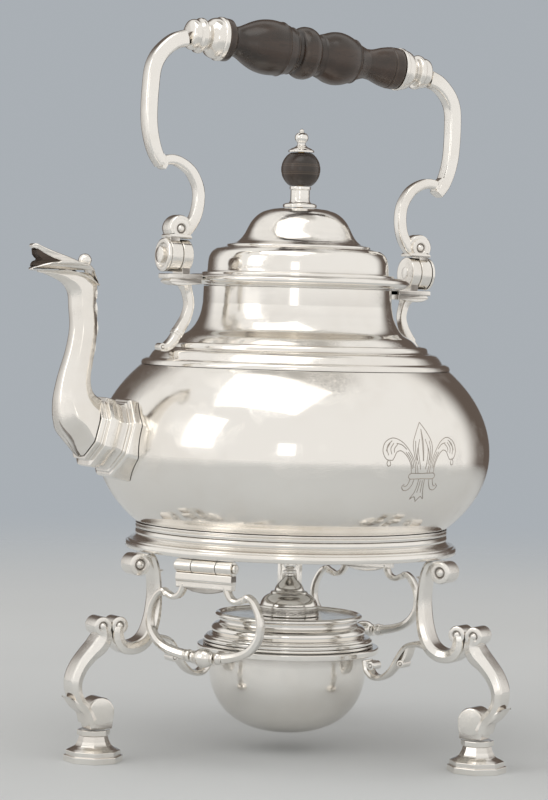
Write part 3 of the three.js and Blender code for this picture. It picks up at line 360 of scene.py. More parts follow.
def prism(side: Sequence[Point], thickness: float, edge: float = 0.5) -> Solid:
    """A plate in the XZ plane with rounded rims.

    Args:
        side: its side outline, counter-clockwise.
        thickness: its thickness along Y.
        edge: size of the rounding at each rim.

    Returns:
        The plate.
    """
    half = thickness / 2
    places = [Vector(p) for p in side]
    layers = [(-half, 1.0), (-half + 0.3 * edge, 0.3), (-half + edge, 0.0)]
    layers += [(-y, inset) for y, inset in reversed(layers)]
    return plate([
        [
            Vector((p.x + n.x * edge * inset, y, p.y + n.y * edge * inset))
            for p, n in zip(places, inward(places))
        ]
        for y, inset in layers
    ])


def strap_section(rounding: float, crown: float) -> list[Point]:
    """Section of a strap, two units wide and two thick.

    Args:
        rounding: share of the half thickness that its corners are rounded by.
        crown: how far the middle of the broad faces stands over their edges.

    Returns:
        The section's points: across the strap's plane, and through its thickness.
    """
    steps, flat = 3, 1 - rounding
    made: list[Point] = []
    for quarter, (x, y) in enumerate(((flat, flat), (-flat, flat), (-flat, -flat), (flat, -flat))):
        corner = Vector((x, y))
        for step in range(steps + 1):
            angle = math.radians(90 * quarter + 90 * step / steps)
            made.append((corner.x + rounding * math.cos(angle), corner.y + rounding * math.sin(angle)))
        if crown and quarter % 2 == 0:
            made.append((0.0, (1 - quarter) * (1 + crown)))
    return made


def strap(
    places: Sequence[Point],
    widths: Sequence[float],
    thickness: Sequence[float] | float,
    rounding: float,
    crown: float = 0.0,
    steps: int = 6,
    at: Placing = fitted(),
) -> Solid:
    """A strap that follows a planar curve in the XZ plane.

    Args:
        places: coordinates that its middle passes.
        widths: width in the plane at each place.
        thickness: thickness along Y, one for all or one at each place.
        rounding: share of the half thickness that its edges are rounded by.
        crown: how far the middle of its broad faces stands over their edges, as a share.
        steps: straight steps between two places.
        at: gives the place of two coordinates, as x and z.

    Returns:
        The strap, with rounded ends.
    """
    depths = [thickness] * len(places) if isinstance(thickness, (int, float)) else thickness
    stations = [Vector(s) for s in smooth_line([(*at(*p), w) for p, w in zip(places, widths)], steps)]
    depth_line = smooth_line([(float(i), d) for i, d in enumerate(depths)], steps)
    shape = strap_section(rounding, crown)
    rings: list[list[Vector]] = []
    for index, station in enumerate(stations):
        ahead = stations[min(index + 1, len(stations) - 1)]
        behind = stations[max(index - 1, 0)]
        heading = Vector((ahead.x - behind.x, 0, ahead.y - behind.y)).normalized()
        side = Vector((-heading.z, 0, heading.x))
        middle = Vector((station.x, 0, station.y))
        half, deep = station.z / 2, depth_line[index][1] / 2
        ring = [middle + side * (a * half) + Vector((0, b * deep, 0)) for a, b in shape]
        rings.append(ring)
        if index in (0, len(stations) - 1):
            out = -heading if index == 0 else heading
            nose = [middle + (p - middle) * 0.8 + out * 0.12 * half for p in ring]
            rings.insert(0 if index == 0 else len(rings), nose)
    return lofted(rings)


def scroll_roll(x: float, z: float, radius: float, length: float, eye: float = 0.3) -> Solid:
    """A rolled scroll end across a strap: a drum along Y with a raised eye at each side.

    Args:
        x: its axis from the drawing's origin.
        z: height of its axis.
        radius: its radius.
        length: its length along Y.
        eye: the eye's share of the radius, or 0 for plain faces.

    Returns:
        The roll.
    """
    half, bead = length / 2, radius * 0.14
    crown = [(0, half + bead), (0.7 * eye * radius, half + 0.7 * bead), (eye * radius, half)]
    groove = [((eye + 0.12) * radius, half - bead), ((eye + 0.26) * radius, half)]
    rim = [(0.84 * radius, half), (0.95 * radius, half - 0.05 * radius), (radius, half - 0.16 * radius)]
    side = [*crown, *groove, *rim] if eye else [(0, half), *rim]
    return revolved([(r, -z) for r, z in side] + side[::-1], 40).placed(moved(x, 0, z) @ Z_TO_Y)


def rod(radius: float, low: float, high: float, segments: int, fillet: float) -> Solid:
    """A round rod about Z with rounded rims."""
    return revolved(outline(((0, low), (radius, low, fillet), (radius, high, fillet), (0, high))), segments)


def square_loop(inner: float, outer: float, low: float, high: float, fillet: float) -> list[Point]:
    """A closed ring section with four rounded corners."""
    return outline(
        [(x, y, fillet) for x, y in ((inner, low), (outer, low), (outer, high), (inner, high))], closed=True
    )


def together(solids: Sequence[Solid]) -> Solid:
    """Several closed solids as one shape of separate shells.

    Args:
        solids: the solids.

    Returns:
        The shape.
    """
    points: list[Vector] = []
    faces: list[Face] = []
    for solid in solids:
        first = len(points)
        shell = solid if solid.merged else solid.clean()
        points.extend(shell.points)
        faces.extend(tuple(first + corner for corner in face) for face in shell.faces)
    return Solid(points, faces, True)


def scene_object(name: str, data: bpy.types.ID) -> bpy.types.Object:
    """A new object of the scene that holds some data."""
    made = bpy.data.objects.new(name, data)
    bpy.context.scene.collection.objects.link(made)
    return made


def baked(made: bpy.types.Object) -> Mesh:
    """A new mesh of what an object's modifiers give."""
    bpy.context.view_layer.update()
    graph = bpy.context.evaluated_depsgraph_get()
    return bpy.data.meshes.new_from_object(made.evaluated_get(graph), depsgraph=graph)


def cut(solid: Solid, cutter: Solid) -> Solid:
    """A solid with another cut out of it.

    Args:
        solid: what is cut.
        cutter: what is taken away.

    Returns:
        What is left.
    """
    base, tool = (scene_object("cut", shape.mesh()) for shape in (solid, cutter))
    modifier = base.modifiers.new("cut", "BOOLEAN")
    modifier.operation = "DIFFERENCE"
    modifier.solver = "EXACT"
    modifier.object = tool
    data = baked(base)
    result = Solid([v.co.copy() for v in data.vertices], [tuple(p.vertices) for p in data.polygons])
    for used in (data, base.data, tool.data):
        bpy.data.meshes.remove(used)
    return result


def edge_relief(shape: bmesh.types.BMesh) -> dict[str, list[float]]:
    """How far each corner of a mesh lies in a hollow or on a ridge.

    Args:
        shape: the mesh.

    Returns:
        Two lists of shares, named hollow and ridge.
    """
    relief: dict[str, list[float]] = {"hollow": [], "ridge": []}
    for vert in shape.verts:
        angles = [e.calc_face_angle_signed(0.0) for e in vert.link_edges if len(e.link_faces) == 2]
        relief["hollow"].append(min(1.0, max(0.0, -min(angles, default=0.0)) / FULL_BEND))
        relief["ridge"].append(min(1.0, max(0.0, max(angles, default=0.0)) / FULL_BEND))
    return relief


def weigh_normals(made: bpy.types.Object) -> None:
    """Bakes normals that keep broad faces flat beside their narrow roundings.

    Args:
        made: the object, whose mesh is replaced.
    """
    modifier = made.modifiers.new("weigh", "WEIGHTED_NORMAL")
    modifier.keep_sharp = True
    plain, name = made.data, made.data.name
    weighed = baked(made)
    made.modifiers.remove(modifier)
    made.data = weighed
    bpy.data.meshes.remove(plain)
    weighed.name = name


@dataclass
class Bench:
    """Adds nodes to one tree and joins them."""

    tree: Tree

    def node(self, kind: str, inputs: dict | None = None, **settings: object) -> bpy.types.Node:
        """Adds a node.

        Args:
            kind: the node's type.
            inputs: sockets or plain values, by input name or index.
            settings: the node's own settings.

        Returns:
            The node.
        """
        made = self.tree.nodes.new(kind)
        for name, value in settings.items():
            setattr(made, name, value)
        for name, value in (inputs or {}).items():
            self.feed(made.inputs[name], value)
        return made

    def out(self, kind: str, inputs: dict | None = None, **settings: object) -> Socket:
        """Adds a node and gives its first output."""
        return self.node(kind, inputs, **settings).outputs[0]

    def feed(self, socket: Socket, value: object) -> None:
        """Joins a socket to another, or gives it a plain value."""
        if isinstance(value, Socket):
            self.tree.links.new(value, socket)
        else:
            socket.default_value = value

    def math(self, operation: str, *values: object, clamp: bool = False) -> Socket:
        """A maths node's result."""
        return self.out("ShaderNodeMath", dict(enumerate(values)), operation=operation, use_clamp=clamp)

    def add(self, value: object, other: object, share: float = 1.0) -> Socket:
        """A value and a share of another."""
        return self.math("ADD", value, other if share == 1.0 else self.math("MULTIPLY", other, share))

    def vector(self, operation: str, *values: object) -> Socket:
        """A vector maths node's result."""
        made = self.node("ShaderNodeVectorMath", dict(enumerate(values)), operation=operation)
        return made.outputs["Value" if operation in ("LENGTH", "DOT_PRODUCT") else "Vector"]

    def step(self, value: object, low: float, high: float, start: float = 0.0, end: float = 1.0) -> Socket:
        """A smooth step of a value from one bound to another."""
        bounds = {"Value": value, "From Min": low, "From Max": high, "To Min": start, "To Max": end}
        return self.out("ShaderNodeMapRange", bounds, interpolation_type="SMOOTHSTEP")

    def mix(self, share: object, first: object, second: object) -> Socket:
        """A colour between two by a share."""
        return self.node("ShaderNodeMix", {0: share, 6: first, 7: second}, data_type="RGBA").outputs[2]

    def noise(self, vector: object, scale: object, detail: float = 3.0, rough: float = 0.55) -> Socket:
        """A noise texture's value."""
        inputs = {"Vector": vector, "Scale": scale, "Detail": detail, "Roughness": rough}
        return self.node("ShaderNodeTexNoise", inputs).outputs["Fac"]

    def attribute(self, name: str) -> Socket:
        """A number that the piece's mesh carries."""
        return self.node("ShaderNodeAttribute", attribute_name=name).outputs["Fac"]

    def shared(self, tree: Tree, **inputs: object) -> dict[str, Socket]:
        """The outputs of a shared group by name, where an input's name has a line for its blank."""
        named = {name.replace("_", " "): value for name, value in inputs.items()}
        return self.node("ShaderNodeGroup", named, node_tree=tree).outputs


def node_group(
    name: str, kind: str, inputs: dict[str, tuple[str, object]], outputs: dict[str, str]
) -> tuple[Bench, dict[str, Socket]]:
    """Starts a node group.

    Args:
        name: its name.
        kind: the kind of its tree.
        inputs: kind and default of each input.
        outputs: kind of each output.

    Returns:
        Its bench and its input sockets by name.
    """
    tree = bpy.data.node_groups.new(name, kind)
    for label, (socket_kind, default) in inputs.items():
        socket = tree.interface.new_socket(name=label, in_out="INPUT", socket_type=socket_kind)
        if default is not None:
            socket.default_value = default
    for label, socket_kind in outputs.items():
        tree.interface.new_socket(name=label, in_out="OUTPUT", socket_type=socket_kind)
    bench = Bench(tree)
    return bench, {s.name: s for s in bench.node("NodeGroupInput").outputs if s.name}


class GrowthTrees:
    """The geometry node trees that make turned, repeated and path-following pieces."""

    def __init__(self) -> None:
        """Builds every tree once."""
        self.turned = self.turned_section()
        self.copies = self.copies_round_axis()
        self.strainer = self.strainer_holes()
        self.twist = self.twisted_strands()
        self.cut_line = self.engraved_lines()

    def start(self, name: str, inputs: dict[str, tuple[str, object]]) -> tuple[Bench, dict[str, Socket]]:
        """Starts a tree that takes and gives geometry, and gives its bench and its input sockets."""
        ends = {"Geometry": (GEOMETRY, None), **inputs, "Material": (MATERIAL, None)}
        return node_group(name, "GeometryNodeTree", ends, {"Geometry": GEOMETRY})

    def finish(self, bench: Bench, given: dict[str, Socket], geometry: Socket) -> Tree:
        """Ends a tree in real, dressed geometry."""
        real = bench.out("GeometryNodeRealizeInstances", {"Geometry": geometry})
        dressed = bench.out("GeometryNodeSetMaterial", {"Geometry": real, "Material": given["Material"]})
        bench.node("NodeGroupOutput", {0: dressed})
        return bench.tree

    def swept(self, bench: Bench, path: Socket, radius: Socket, sides: int) -> Socket:
        """A closed round tube along a path."""
        around = bench.out("GeometryNodeCurvePrimitiveCircle", {"Resolution": sides, "Radius": radius})
        return bench.out(
            "GeometryNodeCurveToMesh", {"Curve": path, "Profile Curve": around, "Fill Caps": True}
        )

    def around(self, bench: Bench, geometry: Socket, count: Socket, centre: Socket) -> Socket:
        """Even copies of a geometry about an upright axis.

        Args:
            bench: the tree's bench.
            geometry: what is copied.
            count: number of copies.
            centre: a point of the axis.

        Returns:
            The copies.
        """
        back = bench.out("ShaderNodeVectorMath", {0: centre, "Scale": -1.0}, operation="SCALE")
        local = bench.out("GeometryNodeTransform", {"Geometry": geometry, "Translation": back})
        places = bench.out("GeometryNodeMeshLine", {"Count": count, "Offset": (0, 0, 0)})
        index = bench.out("GeometryNodeInputIndex")
        angle = bench.math("DIVIDE", bench.math("MULTIPLY", index, 2 * math.pi), count)
        turn = bench.out("ShaderNodeCombineXYZ", {"Z": angle})
        copies = {"Points": places, "Instance": local, "Rotation": turn}
        real = bench.out(
            "GeometryNodeRealizeInstances", {0: bench.out("GeometryNodeInstanceOnPoints", copies)}
        )
        return bench.out("GeometryNodeTransform", {"Geometry": real, "Translation": centre})

    def turned_section(self) -> Tree:
        """A section carried round the axis on a circle."""
        bench, given = self.start(
            "turned section", {"Path Radius": (VALUE, 0.05), "Segments": (WHOLE, ROUND)}
        )
        circle = {"Resolution": given["Segments"], "Radius": given["Path Radius"]}
        ring = bench.out("GeometryNodeCurvePrimitiveCircle", circle)
        section = bench.out("GeometryNodeMeshToCurve", {"Mesh": given["Geometry"]})
        swept = bench.out("GeometryNodeCurveToMesh", {"Curve": ring, "Profile Curve": section})
        merged = bench.out("GeometryNodeMergeByDistance", {"Geometry": swept, "Distance": 1e-7})
        return self.finish(bench, given, merged)

    def copies_round_axis(self) -> Tree:
        """Even copies of a piece about the kettle's axis."""
        bench, given = self.start("copies round axis", {"Count": (WHOLE, 3), "Centre": (VECTOR, None)})
        return self.finish(
            bench, given, self.around(bench, given["Geometry"], given["Count"], given["Centre"])
        )

    def strainer_holes(self) -> Tree:
        """Round holes, one amid an even ring of others, drilled along X."""
        sizes = {"Pitch": (VALUE, 0.005), "Hole Radius": (VALUE, 0.0015), "Depth": (VALUE, 0.01)}
        bench, given = self.start(
            "strainer holes",
            {"Centre": (VECTOR, None), **sizes, "Ring Count": (WHOLE, 6), "Hole Sides": (WHOLE, 20)}
        )
        fan = {"Vertices": given["Ring Count"], "Radius": given["Pitch"]}
        ring = bench.out("GeometryNodeMeshCircle", fan, fill_type="TRIANGLE_FAN")
        hole = {"Vertices": given["Hole Sides"], "Radius": given["Hole Radius"], "Depth": given["Depth"]}
        drill = bench.out("GeometryNodeMeshCylinder", hole)
        drills = bench.out("GeometryNodeInstanceOnPoints", {"Points": ring, "Instance": drill})
        real = bench.out("GeometryNodeRealizeInstances", {"Geometry": drills})
        aim = {"Geometry": real, "Translation": given["Centre"], "Rotation": (0, math.pi / 2, 0)}
        aimed = bench.out("GeometryNodeTransform", aim)
        drilled = bench.out(
            "GeometryNodeMeshBoolean", {0: given["Geometry"], 1: aimed}, operation="DIFFERENCE"
        )
        return self.finish(bench, given, drilled)

    def twisted_strands(self) -> Tree:
        """Strands twisted together along the given line, and gathered at its end."""
        radii = {"Wick Radius": (VALUE, 0.0036), "Strand Radius": (VALUE, 0.0013)}
        bench, given = self.start(
            "twisted wick", {"Strands": (WHOLE, 7), **radii, "Twist": (VALUE, 18.0), "Centre": (VECTOR, None)}
        )
        line = bench.out("GeometryNodeMeshToCurve", {"Mesh": given["Geometry"]})
        share = bench.out("GeometryNodeSplineParameter")
        angle = bench.math("MULTIPLY", share, given["Twist"])
        reach = bench.math("SUBTRACT", given["Wick Radius"], given["Strand Radius"])
        reach = bench.math("MULTIPLY", reach, bench.step(share, 0.97, 1.0, 1.0, 0.55))
        offset = bench.out("ShaderNodeCombineXYZ", {
            "X": bench.math("MULTIPLY", reach, bench.math("COSINE", angle)),
            "Y": bench.math("MULTIPLY", reach, bench.math("SINE", angle)),
        })
        coil = bench.out("GeometryNodeSetPosition", {"Geometry": line, "Offset": offset})
        strand = self.swept(bench, coil, given["Strand Radius"], 8)
        return self.finish(bench, given, self.around(bench, strand, given["Strands"], given["Centre"]))

    def engraved_lines(self) -> Tree:
        """Fine round lines along the given strokes."""
        bench, given = self.start("engraved lines", {"Line Radius": (VALUE, 0.0003)})
        strokes = bench.out("GeometryNodeMeshToCurve", {"Mesh": given["Geometry"]})
        return self.finish(bench, given, self.swept(bench, strokes, given["Line Radius"], 6))


class SharedEffects:
    """The shader node groups that the finishes share."""

    def __init__(self) -> None:
        """Builds every group once."""
        self.clouds = self.handling_clouds()
        self.scratches = self.fine_scratches()
        self.grain = self.wood_grain()

    def start(self, name: str, inputs: dict[str, float], *outputs: str) -> tuple[Bench, dict[str, Socket]]:
        """Starts a group with a vector and some numbers that gives numbers."""
        taken = {"Vector": (VECTOR, None), **{label: (VALUE, default) for label, default in inputs.items()}}
        return node_group(name, "ShaderNodeTree", taken, {label: VALUE for label in outputs})

    def handling_clouds(self) -> Tree:
        """Soft clouds of tarnish and small specks."""
        scales = {"Cloud Scale": 18.0, "Speck Scale": 900.0}
        bench, given = self.start("handling_clouds", scales, "Clouds", "Specks", "Skin")
        broad = bench.noise(given["Vector"], given["Cloud Scale"], 4.0, 0.6)
        specks = bench.noise(given["Vector"], given["Speck Scale"], 1.0, 0.4)
        middle = bench.math("MULTIPLY", given["Cloud Scale"], 9.0)
        bench.node("NodeGroupOutput", {
            "Clouds": bench.step(broad, 0.42, 0.68),
            "Specks": bench.step(specks, 0.7, 0.78),
            "Skin": bench.noise(given["Vector"], middle, 3.0, 0.5),
        })
        return bench.tree

    def fine_scratches(self) -> Tree:
        """Hairlines that polishing leaves, in three directions."""
        bench, given = self.start("fine_scratches", {"Scale": 60.0}, "Lines")
        total: object = 0.0
        for turn, stretch in ((0.4, (1.0, 26.0, 22.0)), (1.5, (24.0, 1.0, 20.0)), (2.4, (21.0, 27.0, 1.0))):
            aim = {"Vector": given["Vector"], "Angle": turn, "Axis": (0.4, 0.3, 0.87)}
            narrow = bench.vector("MULTIPLY", bench.out("ShaderNodeVectorRotate", aim), stretch)
            line = bench.noise(narrow, given["Scale"], 1.0, 0.3)
            edge = bench.math("ABSOLUTE", bench.math("SUBTRACT", line, 0.5))
            total = bench.math("MAXIMUM", total, bench.step(edge, 0.0, 0.012, 1.0, 0.0))
        patches = bench.step(bench.noise(given["Vector"], 45.0, 2.0), 0.45, 0.62)
        bench.node("NodeGroupOutput", {"Lines": bench.math("MULTIPLY", total, patches)})
        return bench.tree

    def wood_grain(self) -> Tree:
        """Long grain and pores along the vector's X direction."""
        bench, given = self.start("wood_grain", {"Figure Scale": 60.0}, "Figure", "Pores")
        slow = bench.vector("MULTIPLY", given["Vector"], (0.12, 1.0, 1.0))
        warp = bench.noise(slow, 30.0, 2.0)
        offset = bench.out("ShaderNodeCombineXYZ", {0: warp, 1: warp, 2: warp})
        bent = bench.vector("ADD", slow, bench.vector("MULTIPLY", offset, (0.004, 0.006, 0.005)))
        figure = bench.noise(bent, given["Figure Scale"], 5.0, 0.62)
        pores = bench.noise(bench.vector("MULTIPLY", given["Vector"], (0.05, 1.0, 1.0)), 1500.0, 1.0, 0.3)
        both = {"Figure": bench.step(figure, 0.36, 0.66), "Pores": bench.step(pores, 0.62, 0.74)}
        bench.node("NodeGroupOutput", both)
        return bench.tree


@dataclass(frozen=True)
class Finish:
    """A finish of a piece."""

    name: str

    def start(self) -> tuple[Bench, Socket]:
        """Starts the material, and gives its bench and the object coordinates."""
        material = bpy.data.materials.new(self.name)
        material.use_nodes = True
        bench = Bench(material.node_tree)
        return bench, bench.node("ShaderNodeTexCoord").outputs["Object"]

    def end(self, bench: Bench, inputs: dict[str, object], **bump: object) -> Material:
        """Feeds the shader and its bump, if it has one, and gives the material."""
        if bump:
            inputs["Normal"] = bench.out("ShaderNodeBump", bump)
        for name, value in inputs.items():
            bench.feed(bench.tree.nodes["Principled BSDF"].inputs[name], value)
        return bpy.data.materials[self.name]


@dataclass(frozen=True)
class Silver(Finish):
    """A silver finish."""

    colour: Colour = (0.93, 0.905, 0.865, 1)
    tarnish: Colour = (0.72, 0.66, 0.58, 1)
    oxide: Colour = (0.12, 0.095, 0.08, 1)
    roughness: float = 0.09
    cloudiness: float = 0.22
    scratch: float = 0.02
    skin: float = 0.02
    oxide_amount: float = 0.75
    cloud_scale: float = 18.0
    relief: float = 0.0006

    def make(self, effects: SharedEffects) -> Material:
        """Builds the material.

        Args:
            effects: the shared node groups.

        Returns:
            The material.
        """
        bench, place = self.start()
        clouds = bench.shared(effects.clouds, Vector=place, Cloud_Scale=self.cloud_scale)
        lines = bench.shared(effects.scratches, Vector=place)["Lines"]
        stain = bench.math("MULTIPLY", clouds["Clouds"], self.cloudiness)
        stain = bench.add(stain, clouds["Specks"], 0.35 * self.cloudiness)
        dirt = bench.math("MULTIPLY", bench.attribute("hollow"), self.oxide_amount)
        dirt = bench.math("MULTIPLY", dirt, bench.add(0.75, clouds["Skin"], 0.5), clamp=True)
        height = bench.math("MULTIPLY", clouds["Skin"], self.skin)
        height = bench.math("SUBTRACT", height, bench.math("MULTIPLY", lines, self.scratch))
        rough = bench.add(bench.add(self.roughness, clouds["Clouds"], 0.05), lines, 0.06)
        look = {
            "Base Color": bench.mix(dirt, bench.mix(stain, self.colour, self.tarnish), self.oxide),
            "Roughness": bench.add(rough, dirt, 0.4),
            "Metallic": 1.0,
        }
        return self.end(bench, look, Height=height, Strength=1.0, Distance=self.relief)


@dataclass(frozen=True)
class Wood(Finish):
    """Dark turned wood, its grain along one axis."""

    upright: bool = False
    dark: Colour = (0.012, 0.0075, 0.0055, 1)
    light: Colour = (0.048, 0.028, 0.02, 1)
    worn: Colour = (0.24, 0.17, 0.115, 1)
    roughness: float = 0.27
    polish: float = 0.35
    polish_roughness: float = 0.18

    def make(self, effects: SharedEffects) -> Material:
        """Builds the material from the shared grain.

        Args:
            effects: the shared node groups.

        Returns:
            The material.
        """
        bench, place = self.start()
        if self.upright:
            place = bench.out(
                "ShaderNodeVectorRotate", {"Vector": place, "Angle": math.pi / 2, "Axis": (0, 1, 0)}
            )
        grain = bench.shared(effects.grain, Vector=place)
        clouds = bench.shared(effects.clouds, Vector=place)
        colour = bench.mix(grain["Figure"], self.dark, self.light)
        colour = bench.mix(bench.math("MULTIPLY", grain["Pores"], 0.6), colour, self.dark)
        colour = bench.mix(bench.math("MULTIPLY", bench.attribute("ridge"), 0.8), colour, self.worn)
        colour = bench.mix(bench.math("MULTIPLY", bench.attribute("hollow"), 0.6), colour, self.dark)
        look = {
            "Base Color": colour,
            "Roughness": bench.add(self.roughness, clouds["Clouds"], 0.1),
            "Coat Weight": self.polish,
            "Coat Roughness": self.polish_roughness,
        }
        depth = bench.math("ADD", bench.math("MULTIPLY", grain["Pores"], -0.3), grain["Figure"])
        return self.end(bench, look, Height=depth, Strength=0.25, Distance=0.0002)


@dataclass(frozen=True)
class Brass(Finish):
    """Aged brass of the burner and the lid's rod."""

    colour: Colour = (0.76, 0.55, 0.24, 1)
    aged: Colour = (0.32, 0.21, 0.1, 1)
    roughness: float = 0.3
    cloud_scale: float = 70.0

    def make(self, effects: SharedEffects) -> Material:
        """Builds the material.

        Args:
            effects: the shared node groups.

        Returns:
            The material.
        """
        bench, place = self.start()
        clouds = bench.shared(effects.clouds, Vector=place, Cloud_Scale=self.cloud_scale)
        age = bench.math("MAXIMUM", bench.math("MULTIPLY", clouds["Clouds"], 0.6), bench.attribute("hollow"))
        look = {
            "Base Color": bench.mix(age, self.colour, self.aged),
            "Roughness": bench.add(self.roughness, age, 0.25),
            "Metallic": 1.0,
        }
        return self.end(bench, look, Height=clouds["Skin"], Strength=0.2, Distance=0.0003)


@dataclass(frozen=True)
class Cotton(Finish):
    """Twisted cotton wick, charred at its tip."""

    colour: Colour = (0.72, 0.68, 0.6, 1)
    char: Colour = (0.03, 0.026, 0.023, 1)
    char_start: float = 0.0716
    char_end: float = 0.0732
    roughness: float = 0.86
    fibre_scale: float = 2600.0

    def make(self, effects: SharedEffects) -> Material:
        """Builds the material.

        Args:
            effects: the shared node groups.

        Returns:
            The material.
        """
        bench, place = self.start()
        clouds = bench.shared(effects.clouds, Vector=place, Speck_Scale=self.fibre_scale)
        height = bench.add(bench.node("ShaderNodeSeparateXYZ", {0: place}).outputs[2], clouds["Skin"], 0.001)
        charred = bench.step(height, self.char_start, self.char_end)
        shade = bench.math("MULTIPLY", bench.attribute("hollow"), 0.5)
        colour = bench.mix(charred, bench.mix(shade, self.colour, self.char), self.char)
        look = {"Base Color": colour, "Roughness": bench.add(self.roughness, charred, 0.08)}
        return self.end(bench, look, Height=clouds["Specks"], Strength=0.4, Distance=0.0003)


@dataclass(frozen=True)
class Cloth(Finish):
    """The matt pale floor, clear towards its rim."""

    colour: Colour = (0.66, 0.68, 0.69, 1)
    shade: float = 0.97
    roughness: float = 0.8
    fade_start: float = 0.16 * 3.2
    fade_end: float = 0.5 * 3.2

    def make(self) -> Material:
        """Builds the material."""
        bench, place = self.start()
        tone = bench.step(bench.noise(place, 3.0, 2.0), 0.3, 0.7)
        near = tuple(self.shade * c for c in self.colour[:3]) + (1.0,)
        clear = bench.step(bench.vector("LENGTH", place), self.fade_start, self.fade_end, 1.0, 0.0)
        look = {"Base Color": bench.mix(tone, near, self.colour), "Roughness": self.roughness, "Alpha": clear}
        return self.end(bench, look)


class Finishes:
    """The usual finish of each slot, and those that only some pieces have."""

    def __init__(self) -> None:
        """Makes every material once."""
        effects = SharedEffects()
        self.usual = {
            Slot.POLISHED: Silver("polished silver").make(effects),
            Slot.CAST: Silver(
                "cast silver", roughness=0.13, cloudiness=0.3, skin=0.06, cloud_scale=30.0
            ).make(effects),
            Slot.INNER: Silver("inner silver", roughness=0.24, cloudiness=0.6, skin=0.05).make(effects),
            Slot.WOOD: Wood("turned wood").make(effects),
            Slot.BRASS: Brass("aged brass").make(effects),
            Slot.COTTON: Cotton("wick cotton").make(effects),
        }
        line_colour, dark, darker = (0.42, 0.38, 0.34, 1), (0.1, 0.08, 0.068, 1), (0.05, 0.04, 0.034, 1)
        self.cut_line = Silver("engraved line", line_colour, roughness=0.4, cloudiness=0.6).make(effects)
        spout = Silver("spout silver", roughness=0.12, cloudiness=0.3, skin=0.05, oxide_amount=0.2)
        self.spout = spout.make(effects)
        # A near-black silver for the thin sheet inside the spout's beak: painted shade that stands in for the
        # unlit inside of the open mouth. Its tones are dark and darker.
        self.painted_mouth_shade = Silver("oxidised silver", dark, darker, roughness=0.45).make(effects)
        self.wood_upright = Wood("turned wood upright", upright=True).make(effects)


class Dresser:
    """Turns solids and sections into finished pieces of the scene."""

    def __init__(self) -> None:
        """Makes the growth trees and the finishes."""
        self.trees = GrowthTrees()
        self.finishes = Finishes()
        self.count = 0

    def to_row(self, place: Matrix | None = None) -> Matrix:
        """Matrix from millimetres in a piece's own frame to metres in the row's."""
        return Matrix.Scale(MM, 4) @ AXIS_SHIFT @ (place or Matrix.Identity(4))

    def blank(self, lines: Sequence[Sequence[Vector]]) -> Mesh:
        """A mesh of open lines."""
        data = bpy.data.meshes.new("lines")
        starts = [sum(len(line) for line in lines[:index]) for index in range(len(lines))]
        edges = [(s + i, s + i + 1) for s, line in zip(starts, lines) for i in range(len(line) - 1)]
        data.from_pydata([p for line in lines for p in line], edges, [])
        return data

    def grow(self, blank: Mesh, tree: Tree, finish: Material, inputs: dict[str, object]) -> Mesh:
        """What a tree makes of a mesh, dressed.

        Args:
            blank: the mesh that the tree takes, which is used up.
            tree: the tree.
            finish: the finish.
            inputs: value of each further input by name.

        Returns:
            The new mesh.
        """
        made = scene_object("blank", blank)
        modifier = made.modifiers.new("growth", "NODES")
        modifier.node_group = tree
        values = {**inputs, "Material": finish}
        for item in tree.interface.items_tree:
            if item.name in values and item.in_out == "INPUT":
                modifier[item.identifier] = values[item.name]
        result = baked(made)
        bpy.data.objects.remove(made)
        bpy.data.meshes.remove(blank)
        return result

    def turned_mesh(self, section: Section, finish: Material, place: Matrix | None = None) -> Mesh:
        """A section turned by the growth tree, as a mesh in the row's frame.

        Args:
            section: the section.
            finish: its finish.
            place: matrix from the section's frame to the kettle's.

        Returns:
            The mesh.
        """
        profile = section.points
        path = 0.6 * max(radius for radius, height in profile)
        blank = bpy.data.meshes.new("section")
        count = len(profile)
        edges = [(i, (i + 1) % count) for i in range(count if profile[0][0] > ON_AXIS else count - 1)]
        blank.from_pydata([((radius - path) * MM, -height * MM, 0) for radius, height in profile], edges, [])
        sizes = {"Path Radius": path * MM, "Segments": section.segments}
        data = self.grow(blank, self.trees.turned, finish, sizes)
        data.transform(self.to_row(place) @ Matrix.Scale(1 / MM, 4))
        return data

    def piece(
        self,
        name: str,
        shape: Solid | Section | Mesh,
        body: Body,
        slot: Slot,
        *nodes: str,
        finish: Material | None = None,
        place: Matrix | None = None,
        smooth_angle: float = SMOOTH_ANGLE,
    ) -> None:
        """Makes a piece, gives it its finish and lets it ride on its body.

        Args:
            name: name of the piece.
            shape: its solid or turned section, in millimetres, or its mesh in the row's frame.
            body: the body it rides on.
            slot: the record's slot of its material.
            nodes: CAD nodes that it stands for.
            finish: its material, where it isn't its slot's usual one.
            place: matrix from the solid's frame to the kettle's.
            smooth_angle: faces that meet at less than this angle are shaded as one.
        """
        finish = finish or self.finishes.usual[slot]
        data = shape
        if isinstance(shape, Solid):
            data = shape.mesh(self.to_row(place))
        elif isinstance(shape, Section):
            data = self.turned_mesh(shape, finish, place)
        data.name = name
        mesh = bmesh.new()
        mesh.from_mesh(data)
        bmesh.ops.recalc_face_normals(mesh, faces=mesh.faces)
        relief = edge_relief(mesh)
        mesh.to_mesh(data)
        mesh.free()
        for label, values in relief.items():
            data.attributes.new(label, "FLOAT", "POINT").data.foreach_set("value", values)
        data.polygons.foreach_set("use_smooth", [True] * len(data.polygons))
        data.set_sharp_from_angle(angle=smooth_angle)
        data.materials.clear()
        data.materials.append(finish)
        made = scene_object(name, data)
        weigh_normals(made)
        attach(made, body.value)
        if nodes:
            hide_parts(*nodes)
        self.count += 1
        LOG.info("%s: %d faces on %s", name, len(made.data.polygons), body.value)


@dataclass
class SubAssembly:
    """A group of pieces that one class builds and dresses."""

    dresser: Dresser


